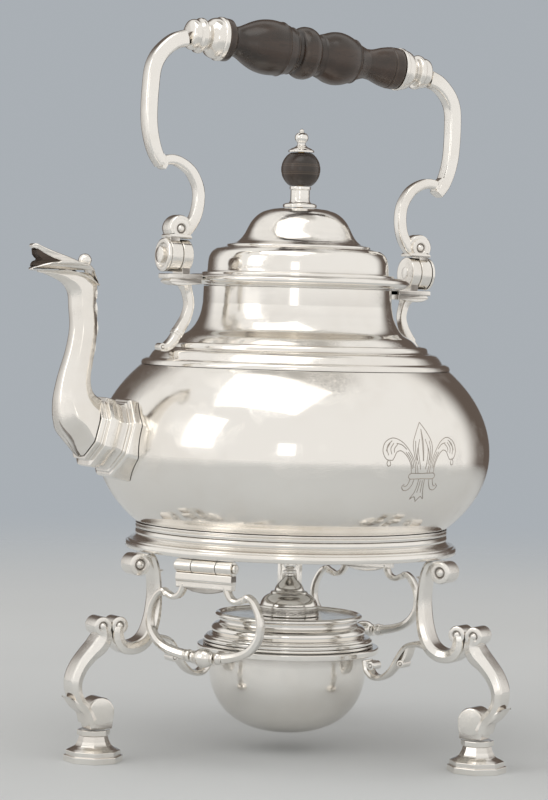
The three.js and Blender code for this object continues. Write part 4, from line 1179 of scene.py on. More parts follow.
@dataclass
class ScrollLeg(SubAssembly):
    """The stand's three legs with their feet and lamp arms, drawn in the XZ plane on the +X side."""

    first_angle: float = 180.0
    height: float = 100.3
    root: float = 77.0
    thickness: float = 11.0
    foot_height: float = 15.3
    foot_flats: float = 26.6
    cradle_top: float = 49.4
    cradle_radius: float = 45.5
    gap: float = 0.3

    upper_shares = (
        (0.062, 1.0), (0.03, 0.985), (0.012, 0.95), (0.0, 0.9), (-0.007, 0.84), (-0.008, 0.76),
        (0.003, 0.675),
        (0.024, 0.613), (0.05, 0.574), (0.095, 0.548), (0.155, 0.546), (0.192, 0.575), (0.203, 0.62),
        (0.2, 0.65),
    )
    upper_widths = (
        0.03, 0.034, 0.036, 0.036, 0.036, 0.042, 0.05, 0.054, 0.06, 0.064, 0.062, 0.062, 0.058, 0.05
    )
    lower_shares = (
        (0.279, 0.65), (0.272, 0.6), (0.292, 0.562), (0.338, 0.519), (0.386, 0.463), (0.414, 0.399),
        (0.413, 0.344),
        (0.392, 0.298), (0.355, 0.255), (0.33, 0.2),
    )
    lower_widths = (0.06, 0.078, 0.084, 0.07, 0.063, 0.059, 0.053, 0.05, 0.056, 0.07)
    heel = (
        (0.226, 0.158), (0.34, 0.158, 0.25),
        Bend(0, 8, (0.352, 0.2), (0.378, 0.236), (0.41, 0.262), (0.452, 0.319)),
        Bend(0, 8, (0.41, 0.3), (0.385, 0.285), (0.36, 0.262), (0.33, 0.272)),
        Bend(
            0, 8, (0.3, 0.293), (0.268, 0.303), (0.24, 0.287), (0.219, 0.262), (0.2165, 0.225), (0.2225, 0.19)
        ),
    )
    spur = (
        (-0.004, 0.95), Bend(0, 8, (-0.02, 0.925), (-0.045, 0.917)),
        Bend(0, 8, (-0.03, 0.905), (-0.008, 0.895)),
        (0.006, 0.9),
    )
    # Place, radius, length beyond the leg's thickness and eye of each roll.
    rolls = (
        (0.097, 0.948, 0.0545, 0.6, 0.3), (0.286, 0.243, 0.069, 0.4, 0.0), (0.196, 0.655, 0.044, -0.4, 0.3),
        (0.288, 0.655, 0.046, 0.8, 0.3),
    )
    arm_shares = (
        (0.03, 0.29), (-0.06, 0.305), (-0.17, 0.295), (-0.29, 0.245), (-0.41, 0.09), (-0.54, -0.13),
        (-0.7, -0.262), (-0.86, -0.27), (-0.965, -0.17), (-1.0, -0.02),
    )
    arm_widths = (3.2, 3.0, 2.8, 2.8, 2.7, 2.6, 2.7, 2.8, 2.9, 3.0)
    tongues = (
        ((-0.24, 0.26), (-0.28, 0.12), (-0.34, 0.0)), ((-0.965, -0.12), (-0.94, -0.06), (-0.88, -0.06))
    )

    def at(self, x: float, z: float) -> Point:
        """A place beside the leg's root from shares of its height."""
        return (self.root + x * self.height, z * self.height)

    def scrolls(self) -> Solid:
        """All the scrolls of the leg, trimmed under the ring and over the foot."""
        bands = ((self.upper_shares, self.upper_widths), (self.lower_shares, self.lower_widths))
        whole = together([
            *(
                strap(p, [w * self.height for w in widths], self.thickness, 0.3, 0.16, at=self.at)
                for p, widths in bands
            ),
            prism(outline(self.heel, self.at)[:-1], self.thickness - 0.2, 0.7),
            prism(outline(self.spur, self.at), 0.5 * self.thickness, 0.3),
            *(
                scroll_roll(*self.at(x, z), r * self.height, self.thickness + b, eye)
                for x, z, r, b, eye in self.rolls
            ),
        ])
        for point in whole.points:
            point.z = min(max(point.z, self.foot_height + self.gap), self.height)
        return whole

    def foot(self) -> Solid:
        """The octagonal pad foot."""
        corner = self.foot_flats / 2 / math.cos(math.pi / 8)
        shape = outline((
            (0, 0), (0.985, 0, 0.4), (1, 0.3 / self.foot_height, 0.2), (1, 0.2, 0.35), (0.925, 0.215, 0.2),
            (0.92, 0.35, 0.5), Bend(0, 4, (0.8, 0.41), (0.62, 0.5), (0.52, 0.66)), (0.475, 0.81, 0.1),
            (0.555, 0.845, 0.25), (0.555, 1, 0.3), (0, 1),
        ), fitted(corner, self.foot_height))
        return revolved(shape, 8, math.pi / 8).placed(moved(self.root + 0.3 * self.height, 0, 0))

    def lamp_arm(self) -> Solid:
        """The scroll arm from the leg's middle to the lamp's cradle."""
        room = self.root - self.cradle_radius
        at = fitted(room, room, self.cradle_top, self.root)
        rolls = ((-0.355, -0.02, 0.062), (-0.88, -0.095, 0.068))
        whole = together([
            strap(self.arm_shares, self.arm_widths, 8.0, 0.45, 0.1, at=at),
            *(scroll_roll(*at(x, z), radius * room, 8.2) for x, z, radius in rolls),
            *(strap(line, [2.6, 2.4, 2.2], 7.6, 0.45, at=at) for line in self.tongues),
        ])
        for point in whole.points:
            if point.x < self.cradle_radius + 3:
                point.z = min(point.z, self.cradle_top)
        return whole

    def build(self) -> None:
        """Makes the legs, their feet and their lamp arms, three of each."""
        silver = self.dresser.finishes.usual[Slot.CAST]
        sides = ("spout_side", "near_side", "far_side")
        inputs = {"Count": len(sides), "Centre": tuple(AXIS_SHIFT.translation * MM)}
        for name, solid, node, angle in (
            ("scroll_legs", self.scrolls(), "leg", SMOOTH_ANGLE),
            ("pad_feet", self.foot(), "foot", math.radians(22)),
            ("scroll_lamp_arms", self.lamp_arm(), "lamp_arm", SMOOTH_ANGLE),
        ):
            first = solid.mesh(self.dresser.to_row(turned_by(self.first_angle)))
            whole = self.dresser.grow(first, self.dresser.trees.copies, silver, inputs)
            nodes = [f"{node}_{side}" for side in sides]
            self.dresser.piece(name, whole, Body.STAND, Slot.CAST, *nodes, smooth_angle=angle)


@dataclass
class DropHandle(SubAssembly):
    """One carrying handle, drawn with its hinge line along Y at the +X side of the stand."""

    hinge_radius: float = 80.0
    hinge_height: float = 96.8
    drop: float = 43.5
    depth: float = 5.0
    knuckle: float = 3.5
    lug_length: float = 13.3
    side_length: float = 8.6
    pin_radius: float = 1.5
    head_radius: float = 2.3
    gap: float = 0.3

    top_shares = ((0.27, 0.2), (0.305, 0.29), (0.35, 0.338), (0.42, 0.352), (0.49, 0.322), (0.56, 0.29))
    top_widths = (3.4, 2.9, 2.8, 2.8, 2.8, 2.2)
    side_shares = (
        (0.5, 0.345), (0.535, 0.295), (0.6, 0.325), (0.655, 0.4), (0.695, 0.49), (0.712, 0.6), (0.7, 0.71),
        (0.65, 0.805), (0.57, 0.885), (0.47, 0.935), (0.36, 0.965), (0.25, 0.985),
    )
    side_widths = (2.0, 2.9, 2.9, 2.9, 3.0, 3.1, 3.3, 3.6, 3.9, 4.2, 4.5, 4.7)
    ferrule = (
        (0, 6.5), (1.6, 6.5, 0.2), (1.6, 7.0, 0.2), Bend(0.1, 4, (2.9, 7.5), (3.1, 8.4), (2.8, 9.4)),
        (2.5, 9.7, 0.1), (2.5, 10.1, 0.1), (3.0, 10.3, 0.2), (2.9, 10.9, 0.2), (0, 10.9),
    )
    bridge = (
        (-2.5, -3.2, 0.4), (-2.7, -6.6, 0.5), (-2.1, -7.4, 0.3), (-2.3, -10.4, 0.8),
        (2.3, -10.4, 0.8), (2.1, -7.4, 0.3), (2.7, -6.6, 0.5), (2.5, -3.2, 0.4),
    )
    apron = ((-0.3, -9.8), (0.3, -9.8, 0.25), Bend(0, 4, (0.15, -12.0), (0, -12.6), (-0.15, -12.0)))
    ball = (
        (0, -6), (3.1, -6, 0.2), (3.1, -5.2, 0.2), (2.2, -4.7, 0.2),
        Bend(0.2, 5, (3.5, -3.6), (4.4, -1.6), (4.5, 0), (4.4, 1.6), (3.5, 3.6), (2.2, 4.7)),
        (3.1, 5.2, 0.2), (3.1, 6, 0.2), (0, 6),
    )

    def hinge(self, up: float = 0.0) -> Matrix:
        """The move to the middle of the hinge line, or over it."""
        return moved(self.hinge_radius, 0, self.hinge_height + up)

    def loop_half(self, side: int) -> list[Solid]:
        """One half of the loop with its ferrule beside the middle ball.

        Args:
            side: 1 or -1.

        Returns:
            Its scrolls and its ferrule.
        """
        place = self.hinge() @ Matrix(((0, 1, 0, 0), (-side, 0, 0, 0), (0, 0, 1, 0), (0, 0, 0, 1)))
        at = fitted(-self.drop, -self.drop)
        top = strap(self.top_shares, self.top_widths, self.depth - 0.8, 0.5, 0.15, at=at)
        bow = strap(self.side_shares, self.side_widths, self.depth - 0.4, 0.5, 0.15, at=at)
        collar = revolved(outline(self.ferrule), 40).placed(Matrix.Rotation(math.radians(-90), 4, "Y"))
        collar = collar.placed(moved(0, 0, -0.99 * self.drop))
        return [part.placed(place) for part in (top, bow, collar)]

    def barrel(self, radius: float, start: float, end: float, fillet: float = 0.35) -> Solid:
        """A round bar on the hinge line."""
        return rod(radius, start, end, FINE_ROUND, fillet).placed(Z_TO_Y).placed(self.hinge())

    def build(self, side: str, degrees: float, body: Body) -> None:
        """Makes the handle, its lug, pin and ball.

        Args:
            side: the handle's side, for the names.
            degrees: its angle round the stand.
            body: the body it rides on.
        """
        place = turned_by(degrees)
        add = self.dresser.piece
        inner = self.lug_length / 2 + self.gap
        outer = inner + self.side_length
        lip = prism(outline(self.apron, fitted(self.drop))[::-1], self.depth - 1, 0.6)
        loop = together([
            *self.loop_half(1),
            *self.loop_half(-1),
            prism(outline(self.bridge, closed=True), 0.72 * self.drop, 0.5).placed(self.hinge()),
            lip.placed(self.hinge() @ turned_by(90)),
            self.barrel(self.knuckle, inner, outer),
            self.barrel(self.knuckle, -outer, -inner),
        ])
        lug = self.barrel(self.knuckle, -self.lug_length / 2, self.lug_length / 2)
        end = outer + self.gap
        pin = together([
            self.barrel(self.pin_radius, -end - 0.6, end + 0.6, 0.1),
            self.barrel(self.head_radius, end, end + 1.2, 0.5),
            self.barrel(self.head_radius, -end - 1.2, -end, 0.5),
        ])
        ball = revolved(outline(self.ball), 48).placed(Z_TO_Y).placed(self.hinge(-self.drop))
        add(f"drop_loop_{side}", loop, body, Slot.CAST, f"drop_handle_{side}", place=place)
        add(f"loop_ball_{side}", ball, body, Slot.CAST, f"handle_knop_{side}", place=place)
        add(f"hinge_lug_{side}", lug, Body.STAND, Slot.CAST, f"handle_lug_{side}", place=place)
        add(f"drop_pin_{side}", pin, Body.STAND, Slot.POLISHED, f"handle_pin_{side}", place=place)


@dataclass
class StandRings(SubAssembly):
    """The moulded ring that the kettle sits in, and the cradle ring of the lamp."""

    bore: float = 73.0
    edge: float = 82.75
    base: float = 100.6
    height: float = 9.5
    cradle = (40.3, 45.5, 49.7, 52.7, 0.6)

    def top_ring(self) -> Section:
        """The upper ring: a flat flange, a fillet, a hollow and a bead."""
        return Section(outline((
            (self.bore, 0, 0.3), (self.edge - 0.3, 0, 0.5), (self.edge, 1.6, 0.8),
            (self.edge - 0.2, 3.3, 0.35),
            (81.3, 3.55, 0.15), (81.2, 4.3, 0.3), Bend(0.1, 5, (79.4, 4.75), (78.1, 5.5), (77.3, 6.5)),
            (77.9, 6.8, 0.2), (78.1, 8.0, 0.7), (77.7, self.height, 0.6), (self.bore, self.height, 0.3),
        ), fitted(base=self.base), closed=True))

    def build(self) -> None:
        """Makes both rings."""
        cradle = Section(square_loop(*self.cradle), 96)
        self.dresser.piece("moulded_stand_ring", self.top_ring(), Body.STAND, Slot.POLISHED, "stand_ring")
        self.dresser.piece("cradle_ring", cradle, Body.STAND, Slot.POLISHED, "lamp_cradle_ring")


@dataclass
class SpiritLamp(SubAssembly):
    """The lamp that hangs in the cradle ring, with its snuffer cap."""

    rim_base: float = 53.0
    bowl_radius: float = 39.6
    bowl_depth: float = 36.0
    wall_height: float = 8.0
    fullness: float = 2.4
    cover_base: float = 54.6
    cap_base: float = 67.7
    tube_base: float = 47.0
    knob_base: float = 87.4
    wick_top: float = 73.4
    wick_bottom: float = 23.9
    wick_radius: float = 3.7
    strand_radius: float = 1.25

    cover = (
        (37.2, -4, 0.2), (38.3, -4, 0.2), (38.3, 0, 0.05), (42.2, 0, 0.4), (42.2, 1.5, 0.6), (41.2, 2.0, 0.2),
        (41.0, 2.7, 0.25), (38.4, 3.0, 0.2), (37.9, 3.5, 0.15),
        Bend(0.1, 5, (38.2, 4.3), (38.6, 5.5), (38.3, 6.9), (37.2, 8.1)),
        Bend(0.2, 4, (36.3, 8.5), (35.2, 8.8)),
        (34.6, 9.2, 0.2), Bend(0.1, 4, (34.3, 10.2), (34.5, 11.4)), (36.2, 11.9, 0.2),
        Bend(0.1, 4, (36.8, 12.7), (36.5, 13.7), (35.4, 14.15)), (34.3, 13.6, 0.3), (33.8, 12.8, 0.3),
        (5.3, 12.8, 0.1), (5.3, 11.7, 0.1), (33.4, 11.7, 0.1), (33.4, 8.2, 0.2), (36.7, 5.5, 0.3),
        (35.0, 3.4, 0.2),
        (37.2, 0.5, 0.2),
    )
    snuffer = (
        (13.9, 0, 0.15), (15.1, 0, 0.2), (15.1, 0.9, 0.2), (14.8, 1.1, 0.1), (14.8, 3.6, 0.1),
        (15.1, 3.8, 0.2),
        (15.1, 4.7, 0.3), (14.4, 5.0, 0.15),
        Bend(0.15, 6, (14.0, 6.4), (12.9, 8.3), (11.3, 9.7), (9.4, 10.6)),
        (9.1, 11.7, 0.3), (7.4, 12.1, 0.2),
        Bend(0.3, 5, (7.0, 13.6), (6.2, 15.0), (5.0, 16.3), (3.6, 17.6), (2.3, 19.0)), (1.3, 19.4, 0.1),
        (1.3, 15.1, 0.1), (2.6, 14.8, 0.3), (6.0, 10.0, 0.6),
        Bend(0.3, 4, (10.2, 8.4), (12.5, 6.4), (13.7, 4.0)),
    )
    knob = (
        (0, -4), (1, -4, 0.1), (1, 0, 0.05), (2.1, 0, 0.2), (1.9, 1.0, 0.3), (3.2, 1.3, 0.3), (3.2, 2.4, 0.4),
        (1.6, 2.8, 0.2), (1.6, 3.2, 0.15),
        Bend(0, 5, (2.6, 3.9), (3.1, 5.3), (2.8, 7.0), (1.7, 8.4), (0.8, 8.9)),
        (0, 9.2),
    )

    def bowl_line(self, inset: float) -> list[Point]:
        """The bowl's section from the axis to the rim.

        Args:
            inset: how far it lies inside the skin.

        Returns:
            Its points.
        """
        steps, power = 40, 2 / self.fullness
        radius, depth = self.bowl_radius - inset, self.bowl_depth - inset
        bottom = self.rim_base - self.wall_height - self.bowl_depth + inset
        angles = [math.pi / 2 * step / steps for step in range(steps + 1)]
        return [(radius * math.sin(a) ** power, bottom + depth * (1 - math.cos(a) ** power)) for a in angles]

    def bowl(self) -> Section:
        """The bowl with its rolled rim and a sheet wall."""
        edge = self.bowl_radius
        rim = outline((
            (edge, -0.4), (edge + 0.4, 0, 0.2), (42.6, 0, 0.5), (42.8, 1.3, 0.6), (edge - 1, 1.3, 0.3),
            (edge - 1, 0),
        ), fitted(base=self.rim_base))
        return Section([*self.bowl_line(0), *rim, *reversed(self.bowl_line(1))])

    def burner(self) -> Section:
        """The wick tube and its flange."""
        low, flange = self.tube_base, self.cap_base
        return Section(outline((
            (4, low, 0.1), (5, low, 0.1), (5, flange, 0.1), (8, flange, 0.2), (8, flange + 0.8, 0.2),
            (5, flange + 0.8, 0.2), (5, flange + 3.3, 0.2), (4, flange + 3.3, 0.2),
        ), closed=True), 48)

    def wick(self) -> Mesh:
        """The twisted wick, gathered at its tip."""
        steps, to_row = 60, self.dresser.to_row()
        rise = self.wick_top - self.wick_bottom
        line = [to_row @ Vector((0, 0, self.wick_bottom + rise * step / steps)) for step in range(steps + 1)]
        radii = {"Wick Radius": self.wick_radius * MM, "Strand Radius": self.strand_radius * MM}
        inputs = {"Centre": tuple(AXIS_SHIFT.translation * MM), **radii}
        finish = self.dresser.finishes.usual[Slot.COTTON]
        return self.dresser.grow(self.dresser.blank([line]), self.dresser.trees.twist, finish, inputs)

    def build(self) -> None:
        """Makes the lamp's pieces."""
        add = self.dresser.piece
        cover = Section(outline(self.cover, fitted(base=self.cover_base), closed=True))
        snuffer = Section(outline(self.snuffer, fitted(base=self.cap_base), closed=True), 96)
        knob = Section(outline(self.knob, fitted(base=self.knob_base)), 48)
        add("lamp_reservoir", self.bowl(), Body.LAMP, Slot.POLISHED, "lamp_bowl")
        add("moulded_lamp_cover", cover, Body.LAMP, Slot.POLISHED, "lamp_cover")
        add("burner_tube", self.burner(), Body.LAMP, Slot.BRASS, "wick_tube")
        add("twisted_wick", self.wick(), Body.LAMP, Slot.COTTON, "wick")
        add("snuffer_dome", snuffer, Body.SNUFFER, Slot.POLISHED, "snuffer_cap")
        add("snuffer_knob", knob, Body.SNUFFER, Slot.POLISHED, "snuffer_finial")


@dataclass
class KettleBody(SubAssembly):
    """The raised body with its neck, mouldings, collar and foot ring."""

    belly_line: float = 150.486
    belly_radius: float = 98.2
    belly_rise: float = 66.4
    belly_fall: float = 60.5
    wall: float = 1.2
    base_radius: float = 76.3
    base_line: float = 112.4
    crease_radius: float = 62.0
    shoulder_top: float = 203.58
    neck_radius: float = 47.0
    neck_top: float = 231.2
    collar_base: float = 231.5
    seat: float = 110.4
    strainer_pitch: float = 5.0
    strainer_hole: float = 1.5
    mark_angle: float = 279.0
    mark_height: float = 143.5
    mark_depth: float = 0.2
    mark_wide: float = 0.93
    mark_high: float = 0.79
    line_radius: float = 0.32

    underside = ((0, 7.6), Bend(0.5, 6, (20, 7.1), (38, 5.1), (52, 2.3), (62, 0.6), (71.7, -0.6)))
    floor = ((71.2, 0.6), Bend(0, 6, (62, 1.8), (52, 3.5), (38, 6.3), (20, 8.3), (0, 8.8)))
    steps = (
        (77.2, 0), (77.2, 1.2, 0.5), (76.6, 1.8, 0.6), (75.0, 1.4, 0.3), (73.9, 0.2, 0.15), (73.4, 0.15, 0.1),
        Bend(0.1, 5, (72.5, 0.95), (71.4, 1.75), (70.2, 1.95), (68.9, 1.6)), (67.9, 1.2, 0.1),
        (67.4, 0.75, 0.2),
        (66.0, 0.75, 0.15), (65.75, 1.9, 0.35), Bend(0.2, 4, (65.1, 2.45), (64.2, 2.4)), (62.7, 1.5, 0.2),
    )
    collar = (
        (45.8, 0, 0.2), (49.6, 0, 0.5), Bend(0.3, 4, (52.4, 0.35), (54.6, 1.3)), (55.3, 1.7, 0.2),
        Bend(0.2, 4, (55.95, 2.7), (55.9, 4.0), (55.1, 4.8)), (54.2, 5.0, 0.15), (53.7, 5.5, 0.3),
        (48.6, 5.5, 0.25), (48.6, 3.7, 0.15), (45.8, 3.7, 0.2),
    )
    foot_ring = (
        (70, -5.4, 0.3), (72.2, -5.4, 0.5), (72.2, 0, 0.05), (77.9, 0, 0.3), (78.0, 1.35, 0.3),
        (77.45, 1.6, 0.12),
        (77.55, 1.85, 0.12), (78.0, 2.2, 0.3), (77.95, 2.95, 0.3), (77.2, 2.45, 0.1), (76.3, 1.7, 0.1),
        (71.7, 1.1, 0.1), (70, 1.1, 0.2),
    )
    # Right halves of the fleur-de-lis's strokes: across and over the middle of its band.
    strokes = (
        ((0.0, 32.0), (3.4, 26.5), (6.3, 19.5), (6.0, 13.0), (4.0, 6.0), (3.0, 1.6)),
        ((1.9, 22.0), (3.3, 16.5), (2.6, 9.5), (1.6, 4.0)),
        ((3.6, 17.0), (4.2, 12.0), (3.2, 7.0)),
        (
            (4.6, 1.6), (5.6, 8.0), (8.8, 15.0), (13.2, 20.6), (18.4, 22.8), (23.2, 20.2), (24.8, 15.0),
            (22.8, 10.2), (19.4, 9.6),
        ),
        ((7.4, 1.6), (8.2, 7.0), (10.8, 12.2), (14.2, 15.2), (16.6, 14.6), (18.2, 11.6), (19.4, 9.6)),
        ((20.4, 19.6), (22.4, 16.2), (21.6, 12.6)),
        ((18.2, 19.8), (20.2, 16.6), (19.8, 13.2)),
        ((16.0, 19.0), (18.0, 16.6), (18.2, 14.2)),
        ((21.6, 10.0), (22.6, 8.0), (21.8, 6.2), (20.4, 7.0), (20.9, 9.2)),
        ((0.0, 1.6), (4.6, 1.7), (8.0, 1.5), (8.9, 0.0), (8.0, -1.5), (4.6, -1.7), (0.0, -1.6)),
        ((2.0, -1.6), (2.2, -5.5), (2.9, -10.0), (4.4, -14.0), (2.2, -12.6), (0.0, -15.6)),
        ((5.0, -1.6), (5.6, -5.0), (7.4, -8.0), (10.2, -8.6), (11.8, -6.4), (10.6, -4.8)),
        ((7.6, -1.6), (8.0, -3.8), (9.2, -6.0), (10.6, -6.2)),
        ((0.7, -2.6), (0.9, -6.0), (1.2, -10.0)),
        ((0.0, 28.0), (0.3, 20.0), (0.1, 9.0)),
        ((4.6, 21.0), (5.1, 15.0), (4.3, 9.5)),
        ((6.0, 5.0), (7.3, 10.2), (9.8, 14.4)),
        ((6.8, 4.6), (8.4, 10.0), (11.2, 14.4)),
        ((10.6, 16.0), (13.6, 18.8), (16.6, 19.6)),
        ((19.0, 21.2), (21.6, 18.8), (22.9, 15.0)),
    )

    def belly_top(self, radius: float) -> float:
        """Height of the belly's upper half at a radius."""
        return self.belly_line + self.belly_rise * math.sqrt(max(0.0, 1 - (radius / self.belly_radius) ** 2))

    def over_belly(self, radius: float, height: float) -> Point:
        """A place over the belly's skin, clear of it by a hair."""
        return (radius, self.belly_top(radius) + 0.3 + height)

    def belly(self, inset: float, trim: float = 0.0, steps: int = 44) -> list[Point]:
        """The belly's section from its base up to its crease.

        Args:
            inset: how far it lies inside the skin.
            trim: how far both its ends are drawn in.
            steps: points below its widest line, and above it.

        Returns:
            Its points.
        """
        wide = self.belly_radius - inset
        low, high = -math.acos((self.base_radius - trim) / wide), math.acos(
            (self.crease_radius - trim) / wide
        )
        places = []
        for step in range(2 * steps + 1):
            angle = low * (1 - step / steps) if step < steps else high * (step - steps) / steps
            tall = (self.belly_rise if angle > 0 else self.belly_fall) - inset
            places.append((wide * math.cos(angle), self.belly_line + tall * math.sin(angle)))
        return places

    def shell(self) -> Section:
        """The body and neck as one raised sheet, open at the mouth."""
        top, edge, base = self.neck_top - self.shoulder_top, self.neck_radius, fitted(base=self.base_line)
        neck = outline((
            (61.2, -0.6), Bend(0, 7, (57.6, 2.9), (52.9, 5.9), (50.2, 9.4), (48.3, 13.8), (47.2, 19.5)),
            (edge, top, 0.2), (edge - self.wall, top, 0.2), (edge + 0.1 - self.wall, 18),
            Bend(0, 6, (47.3, 12.8), (49.3, 8.4), (52.2, 4.9), (57.2, 1.7), (60.4, -1.4)),
        ), fitted(base=self.shoulder_top))
        inside = self.belly(self.wall, self.wall)
        underside, floor = outline(self.underside, base), outline(self.floor, base)
        return Section([*underside, *self.belly(0), *neck, *reversed(inside), *floor], 192)

    def strained(self) -> Mesh:
        """The shell with the strainer holes drilled behind the spout."""
        finish = self.dresser.finishes.usual[Slot.POLISHED]
        whole = self.dresser.turned_mesh(self.shell(), finish)
        spot = AXIS_SHIFT @ Vector((-self.belly_radius, 0, self.belly_line))
        sizes = {"Pitch": self.strainer_pitch, "Hole Radius": self.strainer_hole, "Depth": 8 * self.wall}
        inputs = {"Centre": tuple(spot * MM), **{name: size * MM for name, size in sizes.items()}}
        return self.dresser.grow(whole, self.dresser.trees.strainer, finish, inputs)

    def on_belly(self, across: float, up: float) -> Vector:
        """A place just under the belly's skin beside the engraving's middle.

        Args:
            across: distance along the skin to the right of the middle.
            up: height over the middle.

        Returns:
            The place, in the kettle's frame.
        """
        height = self.mark_height + up
        rise = self.belly_rise if height > self.belly_line else self.belly_fall
        radius = self.belly_radius * math.sqrt(1 - ((height - self.belly_line) / rise) ** 2)
        angle = math.radians(self.mark_angle) + across / radius
        radius -= self.mark_depth
        return Vector((radius * math.cos(angle), radius * math.sin(angle), height))

    def engraving(self) -> Mesh:
        """The fleur-de-lis as fine lines that follow the belly."""
        to_row = self.dresser.to_row()
        lines = []
        for stroke in self.strokes:
            for side in (1, -1):
                line = smooth_line([(side * a * self.mark_wide, b * self.mark_high) for a, b in stroke], 6)
                lines.append([to_row @ self.on_belly(a, b) for a, b in line])
        finish, inputs = self.dresser.finishes.cut_line, {"Line Radius": self.line_radius * MM}
        return self.dresser.grow(self.dresser.blank(lines), self.dresser.trees.cut_line, finish, inputs)

    def moulding(self) -> Section:
        """The stepped moulding round the shoulder, seated on the belly."""
        outer, inner, count = self.steps[0][0], 62.3, 12
        seat = [self.over_belly(inner + (outer - inner) * step / count, 0) for step in range(count)]
        return Section([*outline(self.steps, self.over_belly), *seat])

    def build(self) -> None:
        """Makes the body's pieces."""
        add = self.dresser.piece
        collar = Section(outline(self.collar, fitted(base=self.collar_base), closed=True))
        foot_ring = Section(outline(self.foot_ring, fitted(base=self.seat), closed=True))
        cut_line = self.dresser.finishes.cut_line
        add("kettle_shell", self.strained(), Body.KETTLE, Slot.POLISHED, "kettle_body")
        add("engraved_lily", self.engraving(), Body.KETTLE, Slot.POLISHED, finish=cut_line)
        add("shoulder_steps", self.moulding(), Body.KETTLE, Slot.POLISHED, "shoulder_moulding")
        add("mouth_collar", collar, Body.KETTLE, Slot.POLISHED, "neck_collar")
        add("reeded_foot_ring", foot_ring, Body.KETTLE, Slot.POLISHED, "foot_ring")


@dataclass
class Lid(SubAssembly):
    """The stepped and domed lid with its finial."""

    base: float = 235.5
    stem_base: float = 271.3
    ball_base: float = 282.2
    cap_base: float = 298.8
    nut_base: float = 266.0
    ball_radius: float = 9.8
    ball_half: float = 8.15
    bore: float = 1.8

    shell = (
        (43.2, 0, 0.2), (47.9, 0, 0.4), (48.0, 2.6, 0.5), (45.5, 3.1, 0.3), (45.25, 4.3, 0.3),
        Bend(0.1, 6, (45.15, 7.0), (44.6, 10.4), (43.2, 13.0), (41.2, 14.6)),
        Bend(0.1, 5, (38.2, 15.4), (36.2, 15.75)),
        (35.8, 16.0, 0.12), (35.7, 16.8, 0.25), (34.0, 17.2, 0.2),
        Bend(0, 6, (31.4, 18.0), (29.2, 19.6), (27.3, 22.1), (25.6, 25.4)),
        Bend(0, 6, (23.8, 28.6), (21.4, 31.3), (18.4, 33.4), (14.4, 34.8)),
        Bend(0.1, 4, (10.3, 35.4), (1.8, 35.5)),
        (1.8, 34.3, 0.1), Bend(0, 4, (10.0, 34.2), (14.0, 33.6), (17.6, 32.3), (20.3, 30.4)),
        Bend(0, 4, (22.6, 27.9), (24.4, 24.8), (26.1, 21.4), (28.2, 18.7)),
        Bend(0, 4, (30.8, 16.8), (37.0, 14.4), (40.4, 13.5), (42.2, 12.2)),
        Bend(0, 4, (43.4, 10.0), (43.95, 7.0), (44.0, 3.6)), (43.9, 1.6, 0.2), (43.2, 1.6, 0.15),
    )
    stem = (
        (1.8, 0, 0.1), (8.4, 0, 0.4), (8.5, 1.5, 0.5), (7.3, 2.1, 0.2),
        Bend(0.1, 6, (5.6, 2.5), (4.95, 3.5), (4.8, 6.5), (4.8, 8.7)), (5.3, 9.1, 0.2), (5.3, 10.6, 0.3),
        (1.8, 10.6, 0.1),
    )
    cap = (
        (0, 4), (1.8, 4, 0.1), (1.8, 0, 0.1), (6.4, 0, 0.2), (6.5, 0.9, 0.3),
        Bend(0.2, 4, (5.0, 1.9), (3.4, 2.6)),
        Bend(0.15, 4, (2.3, 3.5), (2.0, 4.4), (2.2, 5.0)),
        Bend(0.1, 6, (2.9, 5.8), (3.35, 7.1), (3.15, 8.5), (2.2, 9.6)),
        (1.0, 10.0, 0.1), Bend(0, 4, (1.2, 10.7), (0.95, 11.4)), (0, 11.9),
    )
    nut = ((1.8, 0, 0.1), (3.5, 0, 0.1), (4.0, 0.4, 0.1), (4.0, 3.1, 0.1), (3.5, 3.5, 0.1), (1.8, 3.5, 0.1))
    bezel = (43.2, 44.4, 223.2, 235.2, 0.25)
    rod_sizes = (1.5, 264.5, 303.8, 32, 0.3)

    def ball(self) -> Section:
        """The turned wooden ball with its flats and two scored lines."""
        radius, steps, scored = self.ball_radius, 48, (19, 29)
        flat = math.asin(self.ball_half / radius)
        profile = [(self.bore, self.ball_base)]
        for step in range(steps + 1):
            angle = -flat + 2 * flat * step / steps
            score = 0.12 if step in scored else 0.0
            height = self.ball_base + self.ball_half + radius * math.sin(angle)
            profile.append(((radius - score) * math.cos(angle), height))
        return Section([*profile, (self.bore, self.ball_base + 2 * self.ball_half)], 96)

    def build(self) -> None:
        """Makes the lid's pieces."""
        add, upright = self.dresser.piece, self.dresser.finishes.wood_upright
        shell = Section(outline(self.shell, fitted(base=self.base), closed=True))
        stem = Section(outline(self.stem, fitted(base=self.stem_base), closed=True), FINE_ROUND)
        cap = Section(outline(self.cap, fitted(base=self.cap_base)), FINE_ROUND)
        nut = Section(outline(self.nut, fitted(base=self.nut_base), closed=True), 6)
        add("domed_lid", shell, Body.LID, Slot.POLISHED, "lid_shell")
        add("bezel_ring", Section(square_loop(*self.bezel), 96), Body.LID, Slot.INNER, "lid_bezel")
        add("finial_base", stem, Body.LID, Slot.POLISHED, "finial_stem")
        add("finial_wood_ball", self.ball(), Body.LID, Slot.WOOD, "finial_ball", finish=upright)
        add("finial_top", cap, Body.LID, Slot.POLISHED, "finial_cap")
        add("threaded_rod", rod(*self.rod_sizes), Body.LID, Slot.BRASS, "finial_rod")
        add("hexagon_nut", nut, Body.LID, Slot.CAST, "finial_nut")


